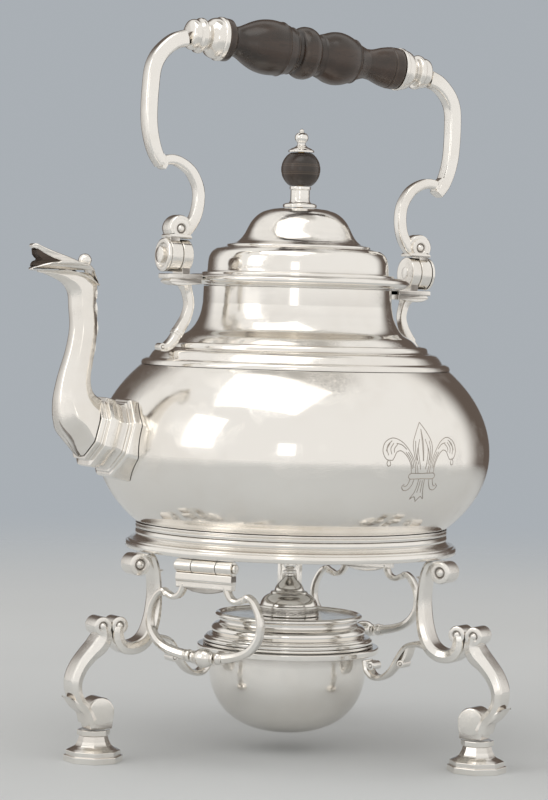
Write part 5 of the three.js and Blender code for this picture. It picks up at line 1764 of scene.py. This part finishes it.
def octagon_ring(flats: float, rounding: float = 0.14) -> list[Point]:
    """An octagon with rounded corners.

    Args:
        flats: its width across flats.
        rounding: share of a side that each corner's rounding takes at either end.

    Returns:
        Its points, from the first flat round.
    """
    corner = flats / 2 / math.cos(math.pi / 8)
    angles = [(i + 0.5) * math.pi / 4 for i in range(8)]
    corners = [Vector((corner * math.cos(angle), corner * math.sin(angle))) for angle in angles]
    made: list[Point] = []
    for index, place in enumerate(corners):
        before = place.lerp(corners[index - 1], rounding)
        after = place.lerp(corners[(index + 1) % 8], rounding)
        made += [tuple(before), tuple((before + after + 2 * place) / 4), tuple(after)]
    return made


@dataclass
class Spout(SubAssembly):
    """The octagonal spout with its moulded base and beaked head, drawn on the +X side."""

    root: float = 90.0
    root_height: float = 150.486
    tilt: float = 14.6
    reach: float = 23.0
    lift: float = 3.5
    base_length: float = 26.0
    base_flats: float = 38.5
    tube_flats: float = 27.0
    rise: float = 90.7
    bore: float = 0.72
    head_width: float = 14.0
    crest_radius: float = 3.2
    gap: float = 0.3

    # Along the tube: place, width and heading.
    stations = (
        (0.052, 0.094, 0.93, 36), (0.094, 0.14, 0.87, 51), (0.114, 0.21, 0.715, 71),
        (0.114, 0.277, 0.605, 87),
        (0.1045, 0.345, 0.54, 97), (0.079, 0.455, 0.49, 102), (0.062, 0.584, 0.472, 95),
        (0.072, 0.7, 0.465, 85),
    )
    # Where the tube opens into the lip: front, back, half width and how far its front is drawn in.
    flare = (
        (0.146, 0.752, 0.0, 0.765, 6.3, 0.02), (0.16, 0.787, -0.002, 0.795, 6.3, 0.06),
        (0.19, 0.818, 0.0, 0.812, 6.2, 0.2), (0.243, 0.843, 0.006, 0.824, 6.0, 0.42),
        (0.3, 0.863, 0.014, 0.84, 5.9, 0.6), (0.338, 0.8715, 0.018, 0.85, 5.6, 0.72),
        (0.31, 0.885, 0.04, 0.872, 4.8, 0.7),
    )
    throat = (
        (0.09, 0.79, 0.29, 74), (0.13, 0.855, 0.2, 52), (0.2, 0.905, 0.15, 18), (0.27, 0.928, 0.13, 12),
    )
    # Across the head: distance out and half width.
    head_plan = (
        (-0.011, 0.28), (0.02, 0.38), (0.06, 0.43), (0.12, 0.46), (0.2, 0.46), (0.27, 0.42), (0.32, 0.33),
        (0.36, 0.22), (0.385, 0.12),
    )
    head = (
        (0.012, 0.817, 0.2), (-0.0065, 0.806, 0.25),
        Bend(0.5, 5, (0.004, 0.83), (0.018, 0.86), (0.03, 0.893)),
        (0.06, 0.92, 0.8),
        Bend(0, 5, (0.104, 0.927), (0.16, 0.947), (0.22, 0.966), (0.28, 0.986), (0.33, 1.007)),
        Bend(0, 5, (0.355, 1.018), (0.371, 1.015), (0.377, 1.005), (0.37, 0.997)),
        Bend(0, 5, (0.343, 0.983), (0.316, 0.965), (0.277, 0.945), (0.232, 0.931)),
        Bend(0, 5, (0.277, 0.925), (0.316, 0.915), (0.35, 0.902), (0.373, 0.892)),
        Bend(0, 5, (0.379, 0.885), (0.372, 0.879), (0.334, 0.876), (0.273, 0.874)),
        Bend(0, 5, (0.186, 0.873), (0.111, 0.859), (0.05, 0.838)),
    )
    # Side outline of the thin dark sheet inside the beak. The sheet paints the shade of the mouth's unlit
    # inside.
    palate = (
        (0.352, 0.984), Bend(0, 4, (0.316, 0.9635), (0.277, 0.9435), (0.235, 0.931)),
        Bend(0, 4, (0.277, 0.9265), (0.316, 0.9165), (0.358, 0.903)),
        Bend(0, 4, (0.345, 0.918), (0.322, 0.937), (0.345, 0.966)),
    )
    roof = (
        (-0.1, 0.7), (0.5, 0.7, 0.25), (0.5, 0.985, 0.25), (0.242, 0.9765, 0.25), (0.104, 0.9305, 0.25),
        (0.06, 0.9235, 0.25), (0.03, 0.8965, 0.25), (-0.1, 0.8),
    )

    def end(self) -> Vector:
        """Where the base's axis ends."""
        angle = math.radians(self.tilt)
        reach = (self.reach * math.cos(angle), self.reach * math.sin(angle))
        return Vector((self.root + reach[0], 0, self.root_height + reach[1]))

    def at(self, out: float, up: float) -> Point:
        """A place in the spout's plane from shares of its rise past the base."""
        end = self.end()
        return (end.x + out * self.rise, end.z + up * self.rise)

    def base(self) -> Solid:
        """The stepped octagonal base that seats on the belly."""
        inner = self.bore * self.tube_flats / self.base_flats
        line = outline((
            (inner, 0), (1, 0, 0.1), (1, 0.4, 0.5), (0.965, 0.43, 0.3), (0.9, 0.44, 0.2), (0.885, 0.47, 0.2),
            (0.84, 0.48, 0.2), Bend(0.1, 4, (0.815, 0.53), (0.81, 0.6), (0.83, 0.67)), (0.88, 0.69, 0.3),
            (0.89, 0.78, 0.5), (0.88, 0.865, 0.3), (0.76, 0.88, 0.15), (0.735, 0.9, 0.15), (0.75, 0.92, 0.2),
            (0.75, 1, 0.5), (inner, 1, 0.1),
        ), fitted(self.base_flats / 2, self.base_length))
        rings = [
            [Vector((a, b, height)) for a, b in octagon_ring(2 * radius, 0.07)] for radius, height in line
        ]
        turn = Matrix.Rotation(math.radians(90 - self.tilt), 4, "Y")
        whole = Solid([p for ring in rings for p in ring], side_faces(rings, loop=True))
        return cut(
            whole.placed(moved(self.root, 0, self.root_height + self.lift) @ turn), self.belly_cutter()
        )

    def belly_cutter(self) -> Solid:
        """The belly as a full solid, grown by the gap."""
        section = KettleBody(self.dresser).belly(-self.gap, steps=60)
        return revolved([(0, section[0][1]), *section, (0, section[-1][1])], 200)

    def between(self, stations: Sequence[Sequence[float]], steps: int) -> list[tuple[float, ...]]:
        """Stations along a smooth curve, their headings weighed lightly beside their places."""
        eased = [(out, up, flats / 9, heading / 900) for out, up, flats, heading in stations]
        return [(out, up, flats * 9, heading * 900) for out, up, flats, heading in smooth_line(eased, steps)]

    def tube_rings(self, stations: Sequence[Sequence[float]]) -> list[list[Vector]]:
        """Octagons along a smooth run of stations.

        Args:
            stations: place, width and heading of each station.

        Returns:
            The rings in order.
        """
        rings = []
        for out, up, flats, heading in self.between(stations, 7):
            x, z = self.at(out, up)
            turn = math.radians(heading)
            across = Vector((-math.sin(turn), 0, math.cos(turn)))
            ring = octagon_ring(flats * self.tube_flats)
            rings.append([Vector((x, 0, z)) + across * a + Vector((0, b, 0)) for a, b in ring])
        return rings

    def start(self, distance: float) -> tuple[float, float, float, float]:
        """The station on the base's axis where the tube or its bore begins.

        Args:
            distance: how far past the base it lies.

        Returns:
            Its place, width and heading.
        """
        along = (self.base_length - self.reach + distance) / self.rise
        angle = math.radians(self.tilt)
        return (along * math.cos(angle), along * math.sin(angle) + self.lift / self.rise, 0.962, self.tilt)

    def flare_rings(self) -> list[list[Vector]]:
        """Rings over the tube that lean forward into the pointed lip."""
        x, z, flats, heading = self.stations[-1]
        half, turn = flats * self.tube_flats / 2, math.radians(heading)
        lean = (half / self.rise * math.sin(turn), -half / self.rise * math.cos(turn))
        knots = [(x + lean[0], z + lean[1], x - lean[0], z - lean[1], half, 0.0), *self.flare]
        eased = [(*knot[:4], knot[4] / 90, knot[5] / 10) for knot in knots]
        rings = []
        for fx, fz, bx, bz, wide, pinch in smooth_line(eased, 5)[1:]:
            front, back = self.at(fx, fz), self.at(bx, bz)
            ring = []
            for a, b in octagon_ring(2):
                share = (1 - a) / 2
                drawn = 90 * wide * (1 - 10 * pinch * share ** 1.6)
                place = (
                    back[0] + share * (front[0] - back[0]), b * drawn, back[1] + share * (front[1] - back[1])
                )
                ring.append(Vector(place))
            rings.append(ring)
        return rings

    def flared(self, parts: Sequence[Sequence[float] | Bend], share: float) -> Solid:
        """A plate whose width follows the head's plan, with rounded rims.

        Args:
            parts: parts of its side outline, clockwise.
            share: share of the plan's width that it takes.

        Returns:
            The plate.
        """
        plan = smooth_line(self.head_plan, 8)
        rim = [Vector(p) for p in outline(parts, self.at, closed=True)[::-1]]
        room = [
            min((place - other).length for i, other in enumerate(rim) if 8 < abs(i - index) < len(rim) - 8)
            for index, place in enumerate(rim)
        ]
        halves = [self.head_width * interpolated(plan, (place.x - self.end().x) / self.rise) for place in rim]
        layers = ((1.0, 0.9), (0.96, 0.45), (0.88, 0.12), (0.75, 0.0))
        rings: list[list[Vector]] = []
        for y, inset in [(-y, inset) for y, inset in layers] + [(y, inset) for y, inset in reversed(layers)]:
            ring = []
            for place, normal, free, half in zip(rim, inward(rim), room, halves):
                spot = place + normal * inset * min(0.9, 0.3 * free)
                ring.append(Vector((spot.x, share * y * half, spot.y)))
            rings.append(ring)
        return plate(rings)

    def leaf(
        self,
        places: Sequence[Sequence[float]],
        side: int,
        size: Callable[[float], Point],
        form: tuple[float, float, float, float, float, float],
    ) -> Solid:
        """A leaf that lies on the tube's skin.

        Args:
            places: the stations that it covers.
            side: 1 on the back of the tube, or -1 under it.
            size: gives its half width and its lift at a share of its length.
            form: depth of its root, lift of its edge, place of its ridge, lift and place of its dip, and
                lift of its vein, all but the first as shares.

        Returns:
            The leaf.
        """
        root, edge, ridge, dip, dip_place, vein = form
        rings = []
        for index, (out, up, flats, heading) in enumerate(places):
            x, z = self.at(out, up)
            turn = math.radians(heading)
            normal = Vector((-math.sin(turn), 0, math.cos(turn))) * side
            width, lift = size(index / (len(places) - 1))
            half = ((-root, 1), (edge * lift, 1), (lift, ridge), (dip * lift, dip_place))
            section = [(a, -b * width) for a, b in half] + [(vein * lift, 0.0)]
            section += [(a, b * width) for a, b in reversed(half)]
            skin = flats * self.tube_flats / 2
            rings.append([Vector((x, 0, z)) + normal * (skin + a) + Vector((0, b, 0)) for a, b in section])
        return lofted(rings)

    def back_size(self, t: float) -> Point:
        """Half width and lift of the leaf with a lobed edge on the back of the neck."""
        lobe = abs(math.sin(math.pi * 5 * t))
        return ((2.3 + 1.5 * lobe) * (1 - 0.55 * t), 0.35 + 0.3 * lobe)

    def elbow_size(self, t: float) -> Point:
        """Half width and lift of the pointed leaf under the elbow, its tip towards the base."""
        return (0.3 + 5.6 * math.sin(math.pi * (0.04 + 0.95 * t)), 0.85 * (1 - t) - 0.25 * t)

    def leaves(self) -> Solid:
        """The thin leaf down the back of the neck and the pointed leaf under the elbow."""
        back = self.between([(0.0745, 0.79, 0.465, 82), *reversed(self.stations[4:])], 14)
        elbow = self.between([self.start(0.4), *self.stations[:4]], 8)[:24]
        return together([
            self.leaf(back, 1, self.back_size, (0.6, 0.5, 0.75, 0.45, 0.25, 0.7)),
            self.leaf(elbow, -1, self.elbow_size, (0.8, 0.3, 0.7, 0.5, 0.12, 1.1)),
        ])

    def swan_neck(self) -> Solid:
        """The tube with its lip and head, bored through."""
        tube = lofted([*self.tube_rings([self.start(self.gap), *self.stations]), *self.flare_rings()])
        run = [self.start(-1.0), *self.stations]
        bore = [(out, up, flats * self.bore, heading) for out, up, flats, heading in run]
        throat = lofted(self.tube_rings([*bore, *self.throat]))
        return together([cut(part, throat) for part in (tube, self.flared(self.head, 1.0))])

    def crest(self) -> Solid:
        """The ball on top of the head."""
        x, z = self.at(0.062, 0.936)
        steps = 24
        angles = [math.pi * step / steps - math.pi / 2 for step in range(steps + 1)]
        profile = [(self.crest_radius * math.cos(a), self.crest_radius * math.sin(a)) for a in angles]
        ball = revolved(profile, 48).placed(moved(x, 0, z + self.gap))
        return cut(ball, prism(outline(self.roof, self.at), 20, 0))

    def build(self) -> None:
        """Makes the spout's pieces."""
        add, finishes, place = self.dresser.piece, self.dresser.finishes, turned_by(180)
        for name, solid, node, finish in (
            ("octagonal_base", self.base(), ["spout_base"], None),
            ("swan_neck_spout", self.swan_neck(), ["spout"], finishes.spout),
            ("spout_leaves", self.leaves(), [], None),
            ("head_crest", self.crest(), ["spout_crest"], finishes.usual[Slot.POLISHED]),
            # The sheet inside the beak, in near-black silver, is painted shade for the unlit inside of the
            # mouth.
            ("beak_painted_shade", self.flared(self.palate, 0.9), [], finishes.painted_mouth_shade),
        ):
            add(name, solid, Body.KETTLE, Slot.CAST, *node, finish=finish, place=place)


@dataclass
class Hinge(SubAssembly):
    """One bracket with its fixed ear and hinge pin, drawn on the +X side."""

    hinge_line: float = 242.878
    reach: float = 68.4
    ear: float = 5.3
    radius: float = 8.0
    pin_radius: float = 3.0
    button: float = 4.0
    collar_edge: float = 56.6
    shelf_drop: float = 8.8
    shelf_height: float = 5.9
    shelf_half: float = 5.5
    shelf_end: float = 75.6
    toe: float = 198.64
    line: float = 64.8
    washer_start: float = 75.0
    moulding_edge: float = 78.0
    gap: float = 0.3

    strap_shares = (
        (-0.01, 1.06), (-0.052, 0.98), (-0.08, 0.9), (-0.115, 0.72), (-0.07, 0.53), (0.02, 0.37), (0.1, 0.25),
    )
    strap_widths = (0.15, 0.14, 0.135, 0.13, 0.14, 0.15, 0.16)
    toe_shares = ((0.085, 0.27), (0.15, 0.16), (0.24, 0.075), (0.33, 0.045))
    # Height of the shoulder moulding over the belly, by radius.
    rises = (
        (62.0, 2.6), (65.1, 2.75), (66.1, 1.2), (67.4, 1.4), (68.9, 2.0), (70.2, 2.35), (73.4, 0.6),
        (75, 1.8),
        (78, 1.6),
    )

    def shelf(self, top: float) -> list[Solid]:
        """The stepped shelf under the hinge, with a rounded underside.

        Args:
            top: height of its top.

        Returns:
            Its two steps.
        """
        low, line, end, edge = top - self.shelf_height, self.line, self.shelf_end, self.collar_edge
        side = outline((
            (edge, low + 1.2), (line - 3, low + 0.6, 0.5), (line + 1.5, low, 0.6),
            Bend(0.3, 6, (line + 4.6, low + 0.1), (line + 7.4, low + 0.6), (end - 1.2, low + 1.5)),
            Bend(0.2, 5, (end - 0.7, low + 2.2), (end - 1.3, low + 3.0)), (end - 2.0, top - 2.4, 0.2),
            (end - 2.0, top - 0.4, 0.2), (edge, top, 0.4),
        ), closed=True)
        slab = outline(
            ((edge, top - 2.6, 0.3), (end, top - 2.6, 0.8), (end, top, 0.8), (edge, top, 0.3)), closed=True
        )
        return [prism(side, 2 * self.shelf_half - 1.6, 0.6), prism(slab, 2 * self.shelf_half, 0.6)]

    def strap_down(self, low: float) -> list[Solid]:
        """The curved strap from the shelf to its turned-out toe on the shoulder.

        Args:
            low: height of the shelf's underside.

        Returns:
            The strap, its collar, its toe and the toe's roll.
        """
        rise = low - self.toe
        at = fitted(rise, rise, self.toe, self.line)
        widths = [w * rise for w in self.strap_widths]
        toe_widths = [0.135 * rise, 0.15 * rise, 0.14 * rise, 0.11 * rise]
        return [
            strap(self.strap_shares, widths, [8.6, 6.2, 5.2, 5.0, 5.0, 5.2, 5.6], 0.3, 0.14, 7, at),
            strap(((0.052, 0.318), (0.078, 0.282)), [0.16 * rise, 0.165 * rise], 6.4, 0.5, at=at),
            strap(self.toe_shares, toe_widths, [5.2, 5.8, 6.4, 5.4], 0.5, 0.1, at=at),
            scroll_roll(*at(0.352, 0.062), 0.062 * rise, 5.4),
        ]

    def bracket(self, lean: float) -> Solid:
        """The whole bracket, seated on the shoulder.

        Args:
            lean: how far its hinge leans, in degrees.

        Returns:
            The bracket.
        """
        pivot = self.hinge_line + self.reach * math.sin(math.radians(lean))
        start, top = self.reach - self.ear, pivot - self.shelf_drop
        disc = rod(self.radius, start, self.reach, 72, 0.7).placed(Z_TO_X).placed(self.tilted(lean))
        web = square_loop(start + 0.5, self.reach - 0.5, top - 0.5, pivot, 0.2)
        whole = together([
            together(self.shelf(top)),
            together(self.strap_down(top - self.shelf_height)),
            prism(web, 2 * self.shelf_half - 0.6, 0.3),
            disc,
        ])
        body = KettleBody(self.dresser)
        for point in whole.points:
            radius = math.hypot(point.x, point.y)
            if radius < self.moulding_edge:
                point.z = max(point.z, body.belly_top(radius) + 0.35 + interpolated(self.rises, radius))
        return whole

    def tilted(self, lean: float) -> Matrix:
        """The hinge's own frame."""
        return moved(0, 0, self.hinge_line) @ Matrix.Rotation(-math.radians(lean), 4, "Y")

    def pin(self) -> Section:
        """The hinge pin with its washer and button head, along Z."""
        low, washer, button = self.reach - self.ear - self.gap - self.washer_start, self.radius, self.button
        return Section(outline((
            (0, low), (self.pin_radius, low, 0.5), (self.pin_radius, 0, 0.05), (washer + 0.2, 0, 0.3),
            (washer + 0.2, 1.2, 0.3), (washer - 0.5, 1.7, 0.25), (washer - 2.0, 1.7, 0.25),
            (washer - 2.6, 0.5, 0.2),
            (button, 0.5, 0.15), (button, 3.2, 0.7), Bend(0, 5, (0.5 * button, 3.7), (0, 3.8)),
        ), fitted(base=self.washer_start)), 72)

    def build(self, side: str, degrees: float, lean: float) -> None:
        """Makes the bracket and pin.

        Args:
            side: their side, for the names.
            degrees: their angle round the kettle.
            lean: how far their hinge leans, in degrees.
        """
        place, add = turned_by(degrees), self.dresser.piece
        polished = self.dresser.finishes.usual[Slot.POLISHED]
        along = place @ self.tilted(lean) @ Z_TO_X
        add(
            f"scroll_bracket_{side}", self.bracket(lean), Body.KETTLE, Slot.CAST, f"bracket_{side}",
            place=place
        )
        add(
            f"button_pin_{side}", self.pin(), Body.KETTLE, Slot.CAST, f"hinge_pin_{side}",
            finish=polished, place=along,
        )


@dataclass
class SwingHandle(SubAssembly):
    """The swing handle: two scroll arms, two ferrules and the turned grip."""

    hinge_line: float = 242.878
    tilt: float = 2.0
    grip_tilt: float = 2.5
    rise: float = 105.0
    reach: float = 68.4
    knuckle: float = 6.0
    radius: float = 8.0
    ferrule_length: float = 18.4
    ferrule_radius: float = 10.8
    ferrule_end: float = 69.4
    grip_length: float = 101.4
    grip_radius: float = 13.7
    grip_ring: float = 0.35
    rod_radius: float = 2.5
    rod_engagement: float = 14.0
    gap: float = 0.3

    upper_shares = (
        (0.02, 0.978), (0.068, 0.962), (0.11, 0.933), (0.148, 0.891), (0.172, 0.838), (0.181, 0.743),
        (0.178, 0.59), (0.16, 0.507), (0.136, 0.448), (0.106, 0.405),
    )
    upper_widths = (8.4, 7.9, 7.4, 7.2, 7.0, 6.9, 6.6, 6.2, 5.8, 5.2)
    lower_shares = (
        (0.115, 0.425), (0.082, 0.438), (0.045, 0.441), (0.015, 0.433), (-0.021, 0.415), (-0.051, 0.39),
        (-0.089, 0.324), (-0.096, 0.257), (-0.08, 0.181), (-0.047, 0.13), (-0.02, 0.105),
    )
    lower_widths = (4.2, 4.8, 5.0, 5.0, 5.0, 5.0, 5.0, 5.1, 5.3, 5.9, 6.2)
    leaf_shares = ((0.128, 0.47), (0.109, 0.443), (0.1, 0.418), (0.107, 0.397))
    cheek_shares = (
        (-0.046, 0.142), (-0.022, 0.168), (0.01, 0.176), (0.04, 0.16), (0.055, 0.128), (0.05, 0.1)
    )
    seat = (
        (-0.05, 0.079, 0.5), (0.062, 0.079, 0.5), (0.066, 0.088, 0.4), (0.061, 0.0955, 0.4),
        (0.053, 0.099, 0.3),
        (-0.045, 0.099, 0.4), (-0.053, 0.088, 0.4),
    )

    def arm(self, lean_rise: float) -> Solid:
        """One arm with its scrolls, collar moulding and hinge knuckle.

        Args:
            lean_rise: how much higher the grip's lean takes its top.

        Returns:
            The arm.
        """
        rise, at = self.rise + lean_rise, fitted(self.rise, self.rise, 0, self.reach)
        upper = strap(
            self.upper_shares, self.upper_widths, 7.5, 0.42, 0.12, 7, fitted(rise, rise, 0, self.reach)
        )
        for point in upper.points:
            if point.z > 0.9 * rise:
                point.x = max(point.x, self.ferrule_end + 2 * self.gap)
        start = self.reach + self.gap
        near, far, low, high = start + 0.4, start + self.knuckle - 0.4, 0.3 * self.radius, 0.085 * self.rise
        web = outline(((near, low), (far, low, 0.25), (far, high, 0.25), (near, high)))
        return together([
            upper,
            strap(self.lower_shares, self.lower_widths, 5.5, 0.42, 0.12, 7, at),
            strap(self.leaf_shares, [2.2, 3.4, 3.6, 2.6], 6.6, 0.5, at=at),
            prism(outline(self.seat, at, closed=True), 10.0, 0.7),
            scroll_roll(*at(0.006, 0.125), 0.046 * self.rise, 9.2),
            strap(
                self.cheek_shares, [2.0, 2.6, 2.8, 2.8, 2.6, 2.0], [6.0, 7.4, 8.4, 9.0, 9.2, 9.2], 0.5, at=at
            ),
            prism(web, self.radius - 0.4, 0.3),
            rod(self.radius, start, start + self.knuckle, 72, 0.6).placed(Z_TO_X),
        ])

    def ferrule(self) -> Section:
        """A moulded ferrule along Z, its broad lobe towards the grip."""
        bore = (self.rod_radius + 0.2) / self.ferrule_radius
        depth = (self.rod_engagement + self.gap) / self.ferrule_length
        return Section(outline((
            (0, depth), (bore, depth), (bore, 0, 0.1), (1, 0, 0.3), (1, 0.1, 0.4), (0.93, 0.13, 0.2),
            Bend(0.3, 5, (0.93, 0.2), (0.86, 0.32), (0.7, 0.42)),
            Bend(0.1, 4, (0.57, 0.47), (0.54, 0.51), (0.6, 0.545)),
            Bend(0, 5, (0.76, 0.57), (0.81, 0.63), (0.79, 0.7)), (0.68, 0.76, 0.2),
            Bend(0, 5, (0.7, 0.86), (0.64, 0.95), (0.5, 0.99), (0, 1)),
        ), fitted(self.ferrule_radius, self.ferrule_length)), 80)

    def grip(self) -> Section:
        """The turned grip, bored for its rod, with small raised rings."""
        bore, ring = (self.rod_radius + 0.2) / self.grip_radius, self.grip_ring / self.grip_radius
        return Section(outline((
            (bore, 0), (0.755, 0, 0.4), (0.77, 1.6, 0.6), (0.755, 3.4, 0.4), (0.6, 4.4, 0.3),
            Bend(0, 6, (0.535, 6.4), (0.57, 9.2), (0.69, 12.6)),
            Bend(0, 6, (0.83, 16.4), (0.94, 20.6), (0.996, 26), (0.972, 31.6)), (0.965 + ring, 32.5, 0.1),
            Bend(0, 4, (0.945, 33.4), (0.9, 35.4), (0.84, 37.6)), (0.835 + ring, 38.4, 0.1),
            (0.735, 39.6, 0.3),
            (0.74, 41.2, 0.2), Bend(0, 5, (0.87, 42.6), (0.945, 44.9), (0.955, 46.6)),
            Bend(0.2, 5, (0.945, 48.3), (0.86, 50.8), (0.74, 52.2)), (0.73, 54.8, 0.3),
            (0.76 + ring, 55.6, 0.1),
            Bend(0, 6, (0.84, 57.9), (0.935, 61.6), (0.968, 65.8), (0.91, 70.2), (0.8, 74.1)),
            (0.79 + ring, 74.9, 0.1), Bend(0, 6, (0.75, 75.6), (0.635, 78.7), (0.545, 82.4)),
            Bend(0.2, 6, (0.57, 86.2), (0.69, 91.6), (0.75, 95.2)), (0.72, 95.8, 0.15), (0.765, 96.4, 0.3),
            (0.77, 99.8, 0.5), (0.75, self.grip_length, 0.4), (bore, self.grip_length, 0.25),
        ), fitted(self.grip_radius, base=-self.grip_length / 2), closed=True), 96)

    def build(self) -> None:
        """Makes the handle's pieces."""
        add, swing = self.dresser.piece, Body.SWING_HANDLE
        polished = self.dresser.finishes.usual[Slot.POLISHED]
        hinge = moved(0, 0, self.hinge_line) @ Matrix.Rotation(math.radians(self.tilt), 4, "Y")
        bar = hinge @ moved(0, 0, self.rise) @ Matrix.Rotation(math.radians(self.grip_tilt), 4, "Y")
        for side, degrees, sign in (("front", 180, 1), ("rear", 0, -1)):
            arm = self.arm(sign * self.ferrule_end * math.sin(math.radians(self.grip_tilt)))
            place = hinge @ turned_by(degrees)
            end = bar @ (turned_by(degrees) @ moved(self.grip_length / 2 + self.gap, 0, 0) @ Z_TO_X)
            add(f"scroll_arm_{side}", arm, swing, Slot.CAST, f"bail_arm_{side}", place=place)
            add(
                f"lobed_ferrule_{side}", self.ferrule(), swing, Slot.CAST, f"ferrule_{side}",
                finish=polished, place=end,
            )
        half = self.grip_length / 2 + self.gap + self.rod_engagement
        core = rod(self.rod_radius, -half, half, 40, 0.4).placed(Z_TO_X)
        add("turned_grip", self.grip(), swing, Slot.WOOD, "grip", place=bar @ Z_TO_X)
        add("tie_rod", core, swing, Slot.CAST, "grip_rod", place=bar)


@dataclass
class Studio:
    """The pale floor, the soft light and the camera."""

    distance: float = 1.4
    eye_height: float = 0.2225
    direction: float = math.radians(240)
    lens: float = 126.0
    yaw: float = math.atan(20.5 / 2800)
    pitch: float = math.atan(95 / 2800)
    roll: float = 0.027
    floor_radius: float = 3.2
    floor_rings: int = 24
    floor_segments: int = 96
    lamp_aim: float = 0.16
    backdrop: Colour = (0.40, 0.43, 0.46, 1)
    tent: Colour = (0.88, 0.865, 0.84, 1)
    roof: Colour = (0.5, 0.48, 0.45, 1)
    flag: Colour = (0.12, 0.095, 0.08, 1)

    # Name, place (to the camera's right, towards the camera and up), size and glow.
    lamps = (
        ("overhead softbox", (-0.3, 0.5, 1.7), (1.3, 1.0), 1.06),
        ("left softbox", (-1.5, 1.0, 0.9), (0.7, 1.1), 1.0),
        ("front softbox", (-0.12, 1.9, 0.45), (0.3, 0.45), 1.02),
    )

    def camera(self) -> None:
        """Sets the camera where the photograph was taken from."""
        heading = self.direction + math.pi + self.yaw
        forward = Vector((math.cos(heading), math.sin(heading), -math.tan(self.pitch))).normalized()
        right = forward.cross(Vector((0, 0, 1))).normalized()
        up = right.cross(forward)
        turn = Matrix((right, up, -forward)).transposed().to_4x4() @ Matrix.Rotation(self.roll, 4, "Z")
        out = Vector((math.cos(self.direction), math.sin(self.direction), 0)) * self.distance
        data = bpy.data.cameras.new("camera")
        data.lens = self.lens
        data.clip_end = 30
        made = scene_object("camera", data)
        made.matrix_world = Matrix.Translation(AXIS + out + Vector((0, 0, self.eye_height))) @ turn
        bpy.context.scene.camera = made

    def floor(self) -> None:
        """Lays a round pale floor that fades into the background."""
        points, faces, count = [Vector((0, 0, 0))], [], self.floor_segments
        for ring in range(1, self.floor_rings + 1):
            radius = self.floor_radius * ring / self.floor_rings
            for step in range(count):
                angle = 2 * math.pi * step / count
                points.append(Vector((radius * math.cos(angle), radius * math.sin(angle), 0)))
        for step in range(count):
            following = (step + 1) % count
            faces.append((0, 1 + step, 1 + following))
            for low in range(1, 1 + (self.floor_rings - 1) * count, count):
                faces.append((low + step, low + count + step, low + count + following, low + following))
        data = bpy.data.meshes.new("studio_floor")
        data.from_pydata(points, [], faces)
        fades = {"fade_start": 0.16 * self.floor_radius, "fade_end": 0.5 * self.floor_radius}
        data.materials.append(Cloth("studio floor", **fades).make())
        made = scene_object("studio_floor", data)
        made.location = AXIS

    def world(self) -> None:
        """Lights the room with a pale tent in front, a grey backdrop and dark flags round the backdrop."""
        world = bpy.data.worlds.new("studio")
        world.use_nodes = True
        bpy.context.scene.world = world
        bench = Bench(world.node_tree)
        ground = world.node_tree.nodes["Background"]
        ray = bench.node("ShaderNodeTexCoord").outputs["Generated"]
        view = Vector(
            (-math.cos(self.direction), -math.sin(self.direction), -math.tan(self.pitch))
        ).normalized()
        spread = bench.math("ARCCOSINE", bench.vector("DOT_PRODUCT", ray, tuple(view)))
        start = bench.step(spread, math.radians(10), math.radians(14))
        stop = bench.step(spread, math.radians(40), math.radians(64))
        height = bench.node("ShaderNodeSeparateXYZ", {0: ray}).outputs[2]
        tent = bench.mix(bench.step(height, 0.9, 0.97), self.tent, self.roof)
        bench.feed(ground.inputs["Color"], bench.mix(stop, bench.mix(start, self.backdrop, self.flag), tent))
        ground.inputs["Strength"].default_value = 1.0

    def lamp(
        self, name: str, place: tuple[float, float, float], size: tuple[float, float], glow: float
    ) -> None:
        """Hangs a soft rectangular lamp that faces the kettle.

        Args:
            name: name of the lamp.
            place: how far it hangs from the kettle's axis: to the camera's right, towards it, and up.
            size: its width and height.
            glow: how bright it looks, where the tent is about 1.
        """
        toward = Vector((math.cos(self.direction), math.sin(self.direction), 0))
        right = Vector((-toward.y, toward.x, 0))
        spot = AXIS + right * place[0] + toward * place[1] + Vector((0, 0, place[2]))
        data = bpy.data.lights.new(name, "AREA")
        data.shape = "RECTANGLE"
        data.size, data.size_y = size
        data.energy = glow * math.pi * size[0] * size[1]
        data.color = (1.0, 0.985, 0.96)
        aim = (AXIS + Vector((0, 0, self.lamp_aim)) - spot).to_track_quat("-Z", "Y")
        scene_object(name, data).matrix_world = Matrix.Translation(spot) @ aim.to_matrix().to_4x4()

    def build(self) -> None:
        """Sets up the whole studio."""
        self.floor()
        self.world()
        for lamp in self.lamps:
            self.lamp(*lamp)
        self.camera()


def main() -> None:
    """Builds the kettle and its studio."""
    logging.basicConfig(level=logging.INFO, format="%(message)s")
    bpy.context.scene.view_settings.view_transform = "Standard"
    dresser = Dresser()
    ScrollLeg(dresser).build()
    DropHandle(dresser).build("near", 210, Body.NEAR_HANDLE)
    DropHandle(dresser).build("far", 30, Body.FAR_HANDLE)
    StandRings(dresser).build()
    SpiritLamp(dresser).build()
    KettleBody(dresser).build()
    Spout(dresser).build()
    Hinge(dresser).build("front", 180, 2.0)
    Hinge(dresser).build("rear", 0, -2.0)
    SwingHandle(dresser).build()
    Lid(dresser).build()
    Studio().build()
    LOG.info("%d pieces", dresser.count)


if __name__ == "__main__":
    main()
